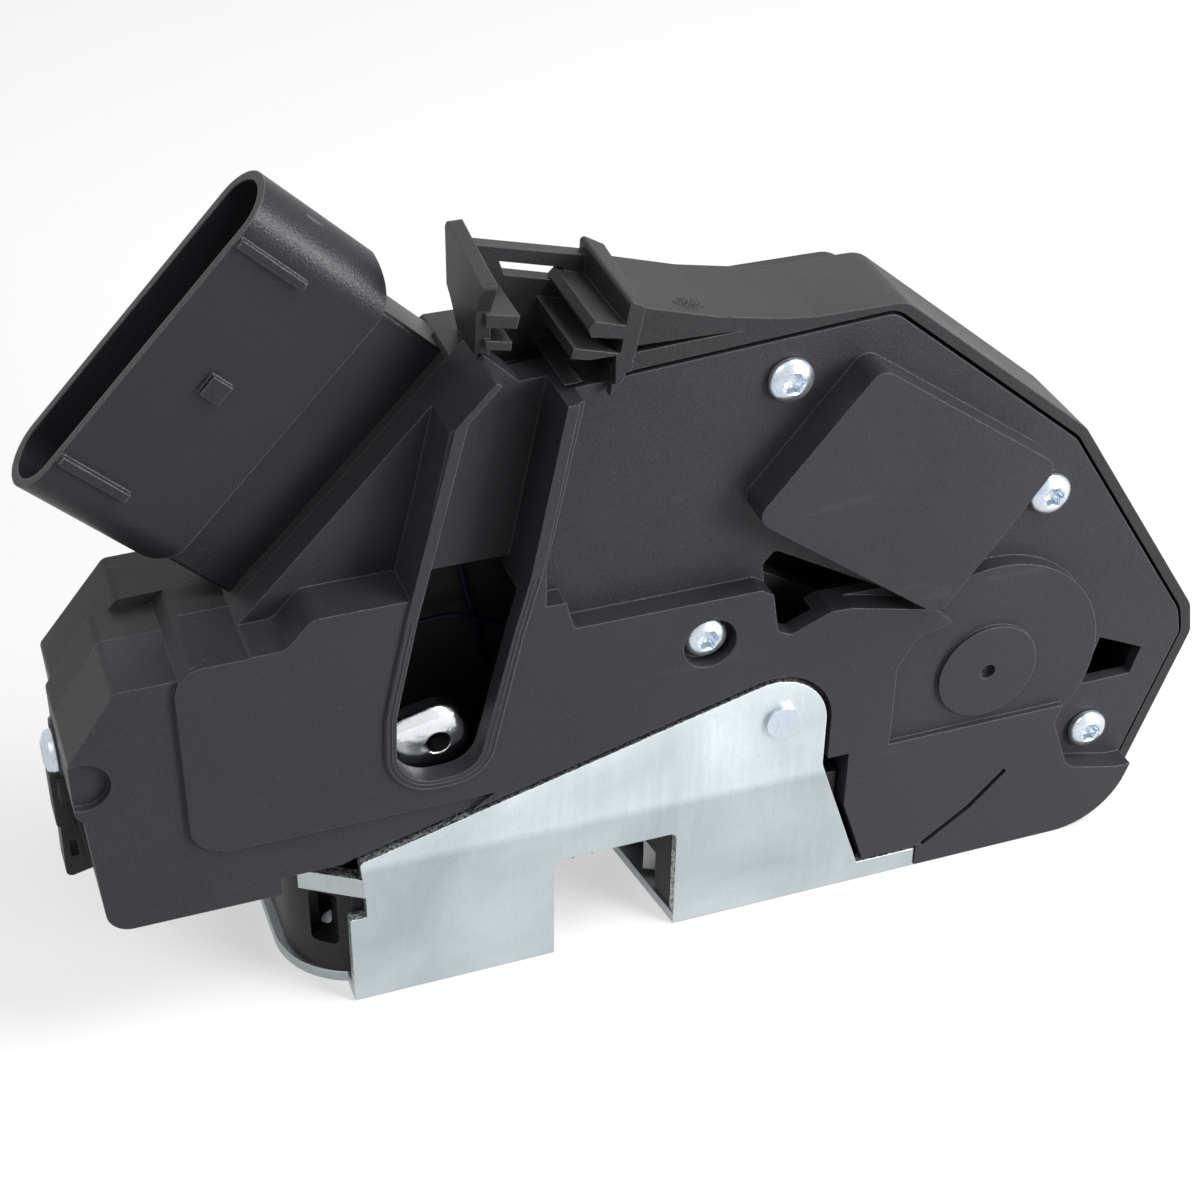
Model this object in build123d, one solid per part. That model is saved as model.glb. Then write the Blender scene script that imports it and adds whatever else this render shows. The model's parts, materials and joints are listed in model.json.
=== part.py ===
from build123d import *
import math
import os

os.makedirs("parts", exist_ok=True)

# X runs to the right, Y from the front cover to the back and Z up.
# Everything is drawn with Z 0 on the steel plate's outer face and Y 0 on the front of the cover.
# Saved sub-parts have their origin where the latched striker crosses the plate's outer face.

# Walls and clearances
WALL = 2.2
STEEL = 2.0
COVER_GAP = 0.6
SEAT_GAP = 0.3
RUNNING_GAP = 0.05
SIDE_PLAY = 0.4

# Depths of the front cover's fields, from the front
LEFT_FIELD = 0.8
PANEL_FIELD = 4.0
WHEEL_PAD = 1.1
TRIANGLE_FIELD = 8.5
CHANNEL_FLOOR = 9.0
MOTOR_BULGE_FRONT = -2.3
WINDOW_RIM_FRONT = -0.5

# Depths of the joints between the shells
COVER_BACK = 11.2
SPLIT = 14.0
HOUSING_BACK = 21.5
REAR_BACK = 33.0
REAR_PANEL_BACK = 30.0
REAR_RIBS = (-42.0, -32.5, -23.0, -13.5)

# Steel plate and its side flange
PLATE_LEFT = -51.0
PLATE_RIGHT = 59.6
PLATE_BACK = 62.0
MOUTH_X = 3.55
MOUTH_FRONT_WIDTH = 21.5
MOUTH_WIDTH = 15.0
MOUTH_DEPTH = 21.5
MOUTH_END = 35.0
NOTCH_HEIGHT = 20.4
MOUNT_HOLES = [(-41.0, 14.0), (-40.0, PLATE_BACK - 9.0), (49.0, 30.0)]
MOUNT_BORE = 2.55
COLLAR_RADIUS = 4.6
COLLAR_TOP = 5.5
FLANGE_RIVET = (32.1, 39.8)

# Latch: claw on the right of the mouth, pawl on the left
LATCH_TOP = 24.0
CAVITY_TOP = 10.3
LEVEL_BOTTOM = 3.0
LEVEL_TOP = 9.5
STRIKER_RADIUS = 4.0
CLAW_PIVOT = (26.0, 33.0)
CLAW_RADIUS = 25.0
CLAW_HOOK = 28.0
CLAW_HUB = 9.5
CLAW_PIN = 4.0
CLAW_OPEN = 48.0
PAWL_PIVOT = (-15.0, 22.0)
PAWL_HUB = 7.0
PAWL_PIN = 3.5
PAWL_LIFT = 12.0

# Motor, worm and wheel
MOTOR_AXIS_Y = 10.6
MOTOR_CENTRE = (50.15, 81.2)
MOTOR_ANGLE = -36.2
MOTOR_WIDTH = 24.0
MOTOR_THICKNESS = 17.0
MOTOR_START = -16.0
MOTOR_END = 14.5
SHAFT_RADIUS = 1.15
GEAR_MODULE = 1.0
WHEEL_CENTRE = (69.9, 40.2)
WHEEL_TEETH = 35
WHEEL_FACE = 6.0
WORM_LENGTH = 18.0
PINION_TEETH = 10
SECTOR_TEETH = 40
PINION_FACE = 4.0
SECTOR_ANGLE = 165.0
SECTOR_START = -57.0
SECTOR_END = -3.0
LOCK_ARM_END = (28.2, 59.1)
AXLE_RADIUS = 2.0
WHEEL_BULGE = 20.9
WORM_CORE = 2.8
WORM_TIP = 4.8

# Levers
RELEASE_PIVOT = (-54.0, 39.0)
RELEASE_EYE = (-24.8, 46.4)
RELEASE_FRONT = 4.8
RELEASE_THICKNESS = 3.5
EYE_RADIUS = 6.4
EYE_BORE = 1.95
EYE_BEVEL = 1.1
LEVER_PIN = 3.0
RELEASE_HUB = 6.5
OUTSIDE_PIVOT = (4.0, 70.0)
OUTSIDE_END = (30.0, 92.0)
OUTSIDE_TOE = (4.5, 30.5)
OUTSIDE_THICKNESS = 2.5
OUTSIDE_BORE = 2.5
PAWL_POST = (2.2, 10.5)
PAWL_POST_RADIUS = 1.8

# Micro switch behind the lock lever
SWITCH_LEFT = 18.5
SWITCH_BOTTOM = 38.0
SWITCH_WIDTH = 12.8
SWITCH_HEIGHT = 6.5
SWITCH_FRONT = 13.4
PLUNGER_WIDTH = 2.4
PLUNGER_DEPTH = 3.0
PLUNGER_RISE = 1.8

# Springs
CLAW_SPRING = 6.5
CLAW_SPRING_TOP = 18.2
PAWL_SPRING = 4.8
PAWL_SPRING_TOP = 15.0
LEG_LENGTH = 1.6
COIL_SIDES = 12
OUTSIDE_STOP = (15.0, 64.0)

# Rivets and plates of the latch
RETAINER = 1.5
RIVET_RADIUS = 2.0
RIVET_HEAD = 3.0

# Connector, along its own slanted axis
PLUG_ANGLE = 46.5
PLUG_CENTRE = 42.3
NECK_START = 86.5
SHROUD_START = 100.6
SHROUD_END = 125.5
SHROUD_LENGTH = 57.0
SHROUD_FRONT = 15.0
SHROUD_BACK = 28.0
NECK_LENGTH = 47.0
NECK_FRONT = 16.5
NECK_BACK = 26.5
SHROUD_WALL = 1.4
SOCKET_FLOOR = 105.5
TERMINALS = 7
TERMINAL_PITCH = 6.2
TERMINAL_ROWS = 4.4
TERMINAL_TIP = 117.0

# Cable bracket
BRACKET_FRONT = 2.0
BRACKET_BACK = 21.0
BRACKET_WALL = 2.4

# Pan head screws: place in the front view and depth of the seat under the head
SCREW_HEAD = 3.6
SCREW_HEAD_HEIGHT = 2.4
SCREW_SHANK = 1.6
SCREWS = [(30.9, 102.1, PANEL_FIELD), (78.7, 72.2, PANEL_FIELD),
          (93.6, 19.7, PANEL_FIELD), (18.6, 58.5, 3.0)]
SCREW_REACH = 17.0
SIDE_SCREW_Z = 49.7
LEFT_SIDE = -81.5


def outline(*corners):
    """Closed face from corners given as (x, y) or (x, y, radius)."""
    points = [(corner[0], corner[1]) for corner in corners]
    radii = [corner[2] if len(corner) > 2 else 0 for corner in corners]
    return make_face(FilletPolyline(*points, radius=radii, close=True))


def prism(face, front, back):
    """Solid with its outline in the front view, between two depths."""
    return extrude(Plane.XZ.offset(-back) * face, back - front)


def slab(face, bottom, top):
    """Solid with its outline in the plan view, between two heights."""
    return extrude(Pos(0, 0, bottom) * face, top - bottom)


def grown(face, amount):
    """The same outline moved outwards, or inwards where amount is negative."""
    return offset(face, amount=amount, kind=Kind.INTERSECTION)


def disc(radius, place):
    """Round face at a place in the view it belongs to."""
    return Pos(place[0], place[1]) * Circle(radius)


def drum(radius, place, front, back):
    """Cylinder along Y at a place in the front view."""
    return prism(disc(radius, place), front, back)


def post(radius, place, bottom, top):
    """Cylinder along Z at a place in the plan view."""
    return slab(disc(radius, place), bottom, top)


def save(name, shape):
    """Write one sub-part with the frame's origin at the latched striker."""
    solids = (Pos(-MOUTH_X, -MOUTH_END, 0) * shape).solids()
    piece = solids[0] if len(solids) == 1 else Compound(children=list(solids))
    piece.label = name
    export_step(piece, f"parts/{name}.step")


# Front view outlines of the housing

def cover_outline():
    return outline(
        (-79.0, 25.9, 4), (-80.3, 48.5), (LEFT_SIDE, 50.0), (LEFT_SIDE, 59.6, 1.5),
        (-73.6, 71.1, 1.5), (-64.3, 71.1), (-62.2, 73.1, 2.2), (-53.9, 73.1), (-16.0, 112.3, 0.4),
        (-14.2, 110.7), (-9.7, 106.2), (-3.0, 106.6), (47.9, 110.0, 4),
        (82.7, 81.3, 3), (108.6, 41.8, 5), (109.8, 36.7, 3), (97.9, 0.0, 14), (60.0, 0.0),
        (60.0, 4.4), (49.6, 4.4), (45.0, 18.0), (45.0, 29.3), (-51.9, 29.3), (-51.9, 25.9))


def housing_outline():
    return outline(
        (-79.0, 25.9, 4), (LEFT_SIDE, 50.0), (LEFT_SIDE, 59.6, 1.5), (-73.6, 71.1, 1.5),
        (-64.3, 71.1), (-62.2, 73.1, 2.2), (-53.9, 73.1), (-18.7, 109.5), (3.5, 109.5),
        (7.2, 117.8, 0.8), (19.0, 114.3), (29.0, 112.3), (35.0, 111.6), (49.6, 111.6, 5),
        (84.4, 82.9, 3), (111.2, 42.1, 5), (112.3, 36.1, 3), (100.6, 0.0, 14), (60.0, 0.0),
        (60.0, 4.4), (49.6, 4.4), (45.0, 18.0), (45.0, 29.3), (-51.9, 29.3), (-51.9, 25.9))


def panel_outline():
    """The set-back field at the upper right of the cover, past its edge."""
    return outline(
        (-1.6, 125.0), (-2.6, 107.6), (-8.6, 79.0), (-8.6, 71.9), (-5.4, 71.9), (-4.2, 66.8, 1),
        (27.0, 66.8, 2), (34.0, 62.0), (58.0, 56.0), (86.0, 31.0), (84.5, 25.5), (88.5, 14.6, 4),
        (99.0, 12.0), (130.0, 12.0), (130.0, 125.0))


def triangle_outline():
    """The deep field below the connector, past the slanted edge."""
    return outline(
        (-70.0, 75.0), (-53.2, 73.3), (-48.5, 73.3, 3), (-44.5, 77.8, 3), (-29.2, 77.8),
        (-22.9, 105.4), (-30.0, 120.0))


def channel_outline(margin):
    """The cable channel and window, wider by a margin on every side."""
    side = margin
    return outline(
        (-12.0 - side, 115.0), (-20.3 - side, 106.4), (-28.8 - side, 74.2), (-32.6 - side, 57.2),
        (-33.2 - side, 43.4 - side, 6.2 + side), (-20.2 + side, 43.4 - side, 5.4 + side),
        (-14.0 + side, 68.2), (-11.2 + side, 78.0), (-3.8 + side, 115.0))


def motor_bulge_outline():
    return outline((43.1, 104.9, 2.5), (23.9, 81.9, 2.5), (57.6, 56.5, 2.5), (76.0, 81.5, 2.5))


def flange_outline():
    return outline(
        (-41.7, 0.0), (-41.7, 17.7), (-38.9, 17.7), (-38.9, 21.4), (-39.6, 29.2, 1),
        (40.2, 50.8, 10), (40.2, 28.2, 4), (48.5, 3.9), (PLATE_RIGHT, 3.9), (PLATE_RIGHT, 0.0))


def flange_field():
    """The shallow field that the steel flange lies in, a little larger than it."""
    return outline(
        (-42.0, 20.0), (-42.0, 29.4), (-40.2, 30.0), (41.1, 52.1, 10.9), (41.1, 28.4, 4),
        (49.4, 4.4), (49.4, 2.0))


# Housing shells

def front_cover():
    field = cover_outline()
    panel = panel_outline()
    triangle = triangle_outline()
    trough = channel_outline(0) & outline((-40, 76.3), (10, 76.3), (10, 120), (-40, 120))
    body = prism(field, 0, SPLIT)
    left_field = outline((-90, 20), (-90, 80), (-58, 80), (-58, 73.1), (-65.2, 73.1, 4.6),
                         (-65.2, 40, 5), (-60.0, 37.9),
                         (-17.0, 37.9), (-30, 29), (-45, 20))
    body -= prism(left_field, -1, LEFT_FIELD)
    body -= prism(panel, -1, PANEL_FIELD)
    body -= prism(triangle, -1, TRIANGLE_FIELD)
    body += prism(disc(WHEEL_BULGE, WHEEL_CENTRE), WHEEL_PAD, PANEL_FIELD + 1)
    pad = outline((52.4, 29.3), (52.4, 45.3), (55.6, 50.8), (87.0, 60.0), (87.8, 29.3))
    body -= prism(pad, -1, WHEEL_PAD)
    body += drum(9.1, WHEEL_CENTRE, WHEEL_PAD - 0.8, WHEEL_PAD + 1)
    body -= drum(1.4, WHEEL_CENTRE, -1, WHEEL_PAD + 0.4)
    body += prism(motor_bulge_outline(), MOTOR_BULGE_FRONT, COVER_BACK)
    body += prism(channel_outline(1.8) & field, WINDOW_RIM_FRONT, SPLIT - 1)

    inner = grown(field, -WALL)
    hollow = prism(inner, LEFT_FIELD + WALL, SPLIT + 1)
    hollow -= prism(grown(panel, WALL), -1, PANEL_FIELD + WALL)
    hollow -= prism(grown(triangle, WALL), -1, TRIANGLE_FIELD + WALL)
    hollow -= prism(grown(trough, WALL), -1, CHANNEL_FLOOR + WALL)
    hollow -= prism(flange_field(), -1, STEEL + SEAT_GAP + WALL)
    hollow += prism(grown(motor_bulge_outline(), -WALL), MOTOR_BULGE_FRONT + WALL, SPLIT + 1)
    hollow += drum(WHEEL_BULGE - WALL, WHEEL_CENTRE, WHEEL_PAD + WALL, SPLIT + 1)
    body -= hollow
    body -= prism(outline((-3.0, -5), (130, -5), (130, 125), (-3.0, 125)), COVER_BACK, SPLIT + 1)
    body -= prism(channel_outline(0), -2, CHANNEL_FLOOR)
    below = outline((-40, 30), (10, 30), (10, 76.3), (-40, 76.3))
    body -= prism(channel_outline(0) & below, -2, SPLIT + 1)
    body -= prism(flange_field(), -1, STEEL + SEAT_GAP)

    body -= prism(outline((28.5, 68.7, 1.5), (30.5, 71.2, 1), (37.0, 67.4), (50.5, 59.4),
                          (39.5, 59.9, 1), (32.5, 57.0, 1), (30.2, 58.2, 1)), -1, 7)
    body -= prism(outline((93.6, 39.2), (102.5, 35.0), (101.0, 29.6), (91.3, 29.6)), 0, 7)
    body -= prism(outline((60.6, 4.9), (69.0, 11.0), (75.6, 17.8), (76.3, 17.1), (69.8, 10.2),
                          (61.3, 4.1)), -1, 1.6)
    body -= drum(4.3, (-80.0, 55.2), -1, LEFT_FIELD + 1.4)
    for x, z, seat in SCREWS:
        body += drum(SCREW_HEAD + 1.2, (x, z), seat, COVER_BACK)
        body -= drum(SCREW_SHANK + 0.15, (x, z), seat - 1, COVER_BACK + 1)
    body -= drum(SCREW_HEAD + 0.9, SCREWS[3][:2], -1, SCREWS[3][2])
    wheel_front = MOTOR_AXIS_Y - WHEEL_FACE / 2
    body += drum(AXLE_RADIUS + WALL, WHEEL_CENTRE, WHEEL_PAD + WALL, wheel_front - SIDE_PLAY / 2)
    body -= drum(AXLE_RADIUS, WHEEL_CENTRE, WHEEL_PAD + WALL, wheel_front)
    worm_room = Rectangle(2 * WORM_TIP + 0.8, 2 * WORM_TIP + 2)
    body -= extrude(axis_plane(worm_station() - WORM_LENGTH / 2 - 3) * worm_room, WORM_LENGTH + 8)
    can_front = MOTOR_AXIS_Y - MOTOR_THICKNESS / 2
    inner_face = MOTOR_BULGE_FRONT + WALL
    height = can_front - inner_face + 0.5
    for station in (MOTOR_START + 5, MOTOR_END - 5):
        pad = axis_plane(station) * Pos(inner_face - 0.5 - MOTOR_AXIS_Y + height / 2, 0)
        body += extrude(pad * Rectangle(height, MOTOR_WIDTH - 8), 2)
    body -= drum(RIVET_RADIUS + 0.1, FLANGE_RIVET, 0, SPLIT)
    return body


def cover_room():
    """The space in the main housing that the cover and its skirt fill."""
    deep_side = outline((-90, 15), (-90, 125), (-2.6, 125), (-2.6, 15))
    seat = grown(cover_outline(), COVER_GAP)
    return prism(seat & deep_side, -5, SPLIT) + prism(seat, PANEL_FIELD - SEAT_GAP, COVER_BACK)


def boss(radius, bore, place, front, depth):
    """Boss that stands on the main housing's floor, as (solid, hole)."""
    return (drum(radius, place, front, HOUSING_BACK - WALL + 0.5),
            drum(bore, place, front - 1, front + depth))


def main_housing():
    body = prism(housing_outline(), PANEL_FIELD + 0.2, HOUSING_BACK)
    left_side = outline((-90, 15), (-90, 125), (-20.0, 125), (-20.0, 15))
    body -= prism(left_side, 0, SPLIT)
    body += cable_bracket()
    body -= cover_room()
    cavity = grown(cover_outline(), -WALL - 0.3)
    body -= prism(cavity, 0, HOUSING_BACK - WALL)
    body -= prism(outline((5.6, 111.8), (5.0, 110.6), (24.0, 111.4)), 0, 15)
    open_top = outline((-18.5, 104.0), (-4.5, 104.0), (-4.5, 107.3), (2.5, 107.3), (2.5, 112.0),
                       (-14.4, 112.0))
    body -= prism(open_top, 0, BRACKET_BACK - BRACKET_WALL)
    body -= neck_opening()
    back = HOUSING_BACK - WALL
    bosses = [boss(SCREW_HEAD, SCREW_SHANK, (x, z), COVER_BACK, SCREW_REACH + 0.5 - COVER_BACK)
              for x, z, seat in SCREWS]
    bosses.append(boss(5.0, LEVER_PIN, RELEASE_PIVOT,
                       RELEASE_FRONT + RELEASE_THICKNESS + SEAT_GAP, 9.0))
    pinion_back = MOTOR_AXIS_Y + WHEEL_FACE / 2 + PINION_FACE
    bosses.append(boss(AXLE_RADIUS + WALL, AXLE_RADIUS, WHEEL_CENTRE,
                       pinion_back + SIDE_PLAY / 2, back - pinion_back))
    bosses.append(boss(AXLE_RADIUS + WALL, AXLE_RADIUS, sector_pivot(),
                       pinion_back, back - pinion_back))
    for solid, hole in bosses:
        body += solid
        body -= hole
    can_back = MOTOR_THICKNESS / 2
    height = back - MOTOR_AXIS_Y - can_back + 0.5
    for station in (MOTOR_START + 4, MOTOR_END - 4):
        pad = axis_plane(station) * Pos(can_back + height / 2, 0)
        body += extrude(pad * Rectangle(height, MOTOR_WIDTH - 8), 3)
    bearing = axis_plane(worm_station() + WORM_LENGTH / 2 + 1.0)
    height = back - MOTOR_AXIS_Y + 2.0
    body += extrude(bearing * Pos(height / 2 - 2.0, 0) * Rectangle(height, 6.0), 3.0)
    body -= extrude(bearing * Circle(SHAFT_RADIUS + RUNNING_GAP), 3.5)
    body += side_clip()
    hole = Rot(0, 90, 0) * Cylinder(SCREW_SHANK, 40)
    body -= Pos(LEFT_SIDE, (SPLIT + HOUSING_BACK) / 2, SIDE_SCREW_Z) * hole
    return body


def side_clip():
    """Snap strap on the left edge, with the slot that its hook enters."""
    strap = outline((-79.4, 43.8), (-82.8, 45.2, 1), (-83.2, 26.5, 1), (-79.0, 27.5))
    clip = prism(strap, SPLIT + 1, HOUSING_BACK - 1)
    return clip - prism(outline((-82.0, 34.0), (-80.9, 34.0), (-80.7, 30.5), (-82.0, 30.5)),
                        SPLIT, HOUSING_BACK)


def tapered(front_face, front, back_face, back):
    """Solid that runs from one front view outline to another one behind it."""
    return loft([Plane.XZ.offset(-front) * front_face, Plane.XZ.offset(-back) * back_face],
                ruled=True)


def cable_bracket():
    """Two leaning side walls, a back wall with a slot, and the guide fingers."""
    front = BRACKET_FRONT
    back = BRACKET_BACK
    left = Plane.YZ.offset(-16.8) * outline(
        (3.0, 125.3, 0.6), (19.8, 127.8, 0.8), (back, 126.5, 0.8), (back, 117.2), (12.0, 110.8),
        (7.8, 110.8), (6.4, 120.0))
    bracket = extrude(left, 2.2)
    bracket += tapered(outline((2.6, 109.0), (4.6, 120.2, 0.6), (6.9, 119.1, 0.6), (4.9, 109.0)), front,
                       outline((3.1, 109.0), (3.7, 121.9, 0.6), (7.6, 119.6, 0.6), (6.8, 109.0)), back)
    bracket += prism(outline((2.4, 111.0), (4.9, 111.0), (3.7, 108.0), (1.7, 105.4)),
                     front, PANEL_FIELD - SEAT_GAP)
    bracket += prism(outline((-15.2, 109.0), (-16.7, 117.2), (-15.4, 124.6), (3.9, 119.6),
                             (5.0, 109.0)), back - BRACKET_WALL, back)
    bracket -= prism(outline((-9.5, 120.8), (0.4, 118.2), (0.0, 116.1), (-8.8, 118.5)), 0, back + 1)
    fingers = [
        (6.0, outline((-15.5, 119.6), (-10.5, 118.5), (-11.0, 116.6), (-15.5, 117.5))),
        (6.4, outline((-15.5, 115.2), (-11.6, 114.3), (-11.8, 113.0), (-15.5, 113.8))),
        (front, outline((4.6, 116.4), (-0.6, 118.0), (-1.7, 116.9), (-1.3, 115.6), (4.6, 114.3))),
        (front, outline((3.9, 112.0), (-3.9, 114.3), (-4.3, 112.7), (3.9, 110.6)))]
    for start, finger in fingers:
        bracket += prism(finger, start, back - 1)
    return bracket


def rear_cover():
    field = outline(
        (-79.0, 27.0, 4), (-80.6, 59.2, 1.5), (-69.4, 72.8, 1.5), (-53.4, 73.1), (-22.4, 105.0),
        (-18.0, 107.8), (49.0, 107.8, 5), (62.0, 95.0, 6), (80.0, 62.0, 8), (70.0, 29.3, 5),
        (-51.9, 29.3), (-51.9, 27.0))
    body = prism(field, HOUSING_BACK, REAR_PANEL_BACK)
    left = field & outline((-90, 20), (-90, 80), (-50, 80), (-50, 20))
    body += prism(left, HOUSING_BACK, REAR_BACK)
    body -= prism(grown(field, -WALL), HOUSING_BACK - 1, REAR_PANEL_BACK - WALL)
    body += drum(LEVER_PIN + WALL, OUTSIDE_PIVOT, HOUSING_BACK + 1, REAR_PANEL_BACK)
    body -= drum(LEVER_PIN, OUTSIDE_PIVOT, HOUSING_BACK + 3, REAR_PANEL_BACK + 1)
    body += drum(1.6, OUTSIDE_STOP, REAR_PANEL_BACK - 1, REAR_PANEL_BACK + 5.5)
    ribs = outline((-46, 57.4), (-13, 57.4), (-13, 58.6), (-46, 58.6))
    for x in REAR_RIBS:
        ribs += outline((x - 0.6, 36), (x - 0.6, 120), (x + 0.6, 120), (x + 0.6, 36))
    body += prism(ribs & grown(field, -4), REAR_PANEL_BACK - 0.5, REAR_PANEL_BACK + 1.2)
    body -= neck_opening()
    return body


# Connector, worked out along its slanted axis

def plug_plane(depth, distance):
    """Plane square to the connector's axis at a distance along it."""
    along = Vector(math.cos(math.radians(PLUG_ANGLE)), 0, math.sin(math.radians(PLUG_ANGLE)))
    axis = Vector(-along.Z, 0, along.X)
    origin = along * PLUG_CENTRE + axis * distance + Vector(0, depth, 0)
    return Plane(origin=origin, x_dir=along, z_dir=axis)


def plug_view(depth):
    """Front view plane whose height is the distance along the connector's axis."""
    base = plug_plane(depth, 0)
    return Plane(origin=base.origin, x_dir=base.x_dir, z_dir=(0, -1, 0))


def plug_bar(length, front, back, start, end):
    """Bar with rounded ends across the connector's axis."""
    thickness = back - front
    section = RectangleRounded(length, thickness, thickness / 2 - 0.01)
    return extrude(plug_plane((front + back) / 2, start) * section, end - start)


def neck_opening():
    return plug_bar(NECK_LENGTH + 0.4, NECK_FRONT - 0.2, NECK_BACK + 0.2, NECK_START - 6,
                    SHROUD_START)


def connector_shroud():
    body = plug_bar(SHROUD_LENGTH, SHROUD_FRONT, SHROUD_BACK, SHROUD_START, SHROUD_END)
    half = SHROUD_LENGTH / 2 + 1
    view = plug_view(SHROUD_BACK + 1)
    shoulders = outline((-half, SHROUD_START, 8), (half, SHROUD_START, 8), (half, SHROUD_END + 1),
                        (-half, SHROUD_END + 1))
    body &= extrude(view * shoulders, SHROUD_BACK - SHROUD_FRONT + 2)
    body += plug_bar(NECK_LENGTH, NECK_FRONT, NECK_BACK, NECK_START, SHROUD_START + 1)
    inset = 2 * SHROUD_WALL
    body -= plug_bar(SHROUD_LENGTH - inset, SHROUD_FRONT + SHROUD_WALL,
                     SHROUD_BACK - SHROUD_WALL, SOCKET_FLOOR, SHROUD_END + 1)
    for along in (-19.5, 20.5):
        rib = plug_plane(SHROUD_FRONT - 0.5, SHROUD_END - 12.0) * Pos(along, 0)
        body += extrude(rib * Rectangle(1.4, 1.2), 11.7)
    bump = plug_plane(SHROUD_FRONT - 0.4, SHROUD_START + 11.4) * Pos(1.0, 0)
    body += extrude(bump * Rectangle(3.4, 1.2), 3.4)
    body -= terminal_pins()
    return body


def terminal_pins():
    """Two rows of flat blades, held in the neck and standing in the socket."""
    bars = []
    foot = NECK_START + 4
    depth = (SHROUD_FRONT + SHROUD_BACK) / 2
    for row in (-1, 1):
        for index in range(TERMINALS):
            along = (index - (TERMINALS - 1) / 2) * TERMINAL_PITCH
            place = plug_plane(depth, foot) * Pos(along, row * TERMINAL_ROWS / 2)
            bars.append(extrude(place * Rectangle(2.3, 0.8), TERMINAL_TIP - foot))
    return Compound(children=bars)


# Latch pieces

def mouth_face(margin):
    """Plan of the striker's way in: a wedge that narrows, then a round ended slot."""
    front = MOUTH_FRONT_WIDTH / 2 + margin
    half = MOUTH_WIDTH / 2 + margin
    wedge = outline((MOUTH_X - front, -5), (MOUTH_X - front, 0), (MOUTH_X - half, MOUTH_DEPTH),
                    (MOUTH_X - half, MOUTH_END), (MOUTH_X + half, MOUTH_END),
                    (MOUTH_X + half, MOUTH_DEPTH), (MOUTH_X + front, 0), (MOUTH_X + front, -5))
    return wedge + disc(half, (MOUTH_X, MOUTH_END))


def plate_face():
    return outline(
        (PLATE_LEFT, 4.0, 14), (PLATE_LEFT, PLATE_BACK, 9), (40.0, PLATE_BACK, 12),
        (PLATE_RIGHT, 44.0, 6), (PLATE_RIGHT, 4.0))


def back_plate():
    body = slab(plate_face(), 0, STEEL)
    body += slab(outline((-41.7, 0), (-41.7, 12), (PLATE_RIGHT, 12), (PLATE_RIGHT, 0)), 0, STEEL)
    flange = prism(flange_outline(), 0, STEEL)
    half = MOUTH_FRONT_WIDTH / 2
    flange -= prism(outline((MOUTH_X - half, -1), (MOUTH_X - half, NOTCH_HEIGHT, 1.3),
                            (MOUTH_X + half, NOTCH_HEIGHT, 1.3), (MOUTH_X + half, -1)),
                    -1, STEEL + 1)
    body += flange
    body += slab(outline((-39.0, 0.0), (-48.5, 6.0), (-47.6, 7.6), (-38.0, 2.0)), 21.8, 25.6)
    body -= slab(mouth_face(0), -1, STEEL + 0.01)
    for place in MOUNT_HOLES:
        body += post(COLLAR_RADIUS, place, STEEL - 0.5, COLLAR_TOP)
        body -= post(MOUNT_BORE, place, -1, COLLAR_TOP + 1)
    body -= post(CLAW_PIN - 1, CLAW_PIVOT, -1, STEEL + 1)
    body -= post(PAWL_PIN - 1, PAWL_PIVOT, -1, STEEL + 1)
    body -= drum(RIVET_RADIUS, FLANGE_RIVET, -1, STEEL + 1)
    return body


def polar(radius, angle):
    """Point at a radius and an angle in degrees."""
    return (radius * math.cos(math.radians(angle)), radius * math.sin(math.radians(angle)))


def claw_face():
    """The forked claw about its own pivot, with its slot along minus X."""
    body = Circle(CLAW_RADIUS) & outline((-30, -12.5, 4), (-4, -12.5), (4, -6), (4, 6),
                                         (-4, 13.0), (-30, 13.0))
    body += Circle(CLAW_HUB)
    reach = CLAW_HOOK * 1.05
    body += Circle(CLAW_HOOK) & outline((0, 0), polar(reach, 164.5), polar(reach, 152.0))
    striker = CLAW_PIVOT[0] - MOUTH_X
    slot = Pos(-striker - 6, 0) * Rectangle(12, 2 * STRIKER_RADIUS + 1.5)
    slot += Pos(-striker, 0) * Circle(STRIKER_RADIUS + 0.75)
    return body - slot - Circle(CLAW_PIN + RUNNING_GAP)


def claw():
    return slab(Pos(*CLAW_PIVOT) * Rot(0, 0, CLAW_OPEN) * claw_face(), LEVEL_BOTTOM, LEVEL_TOP)


def pawl_face():
    """The pawl about its own pivot, in the position that holds the claw."""
    arm = outline((-5.5, 0), (-3.5, 16, 6), (3.0, 21.6, 1), (16.2, 20.2, 0.5), (16.6, 18.2, 0.4),
                  (9.0, 17.6, 1.5), (5.6, 12, 2), (6.0, 0))
    return arm + Circle(PAWL_HUB) - Circle(PAWL_PIN + RUNNING_GAP)


def pawl():
    place = Pos(*PAWL_PIVOT) * Rot(0, 0, PAWL_LIFT)
    body = slab(place * pawl_face(), LEVEL_BOTTOM, LEVEL_TOP)
    body += slab(place * Pos(*PAWL_POST) * Circle(PAWL_POST_RADIUS), LEVEL_TOP - 1, LATCH_TOP + 6)
    return body


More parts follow.
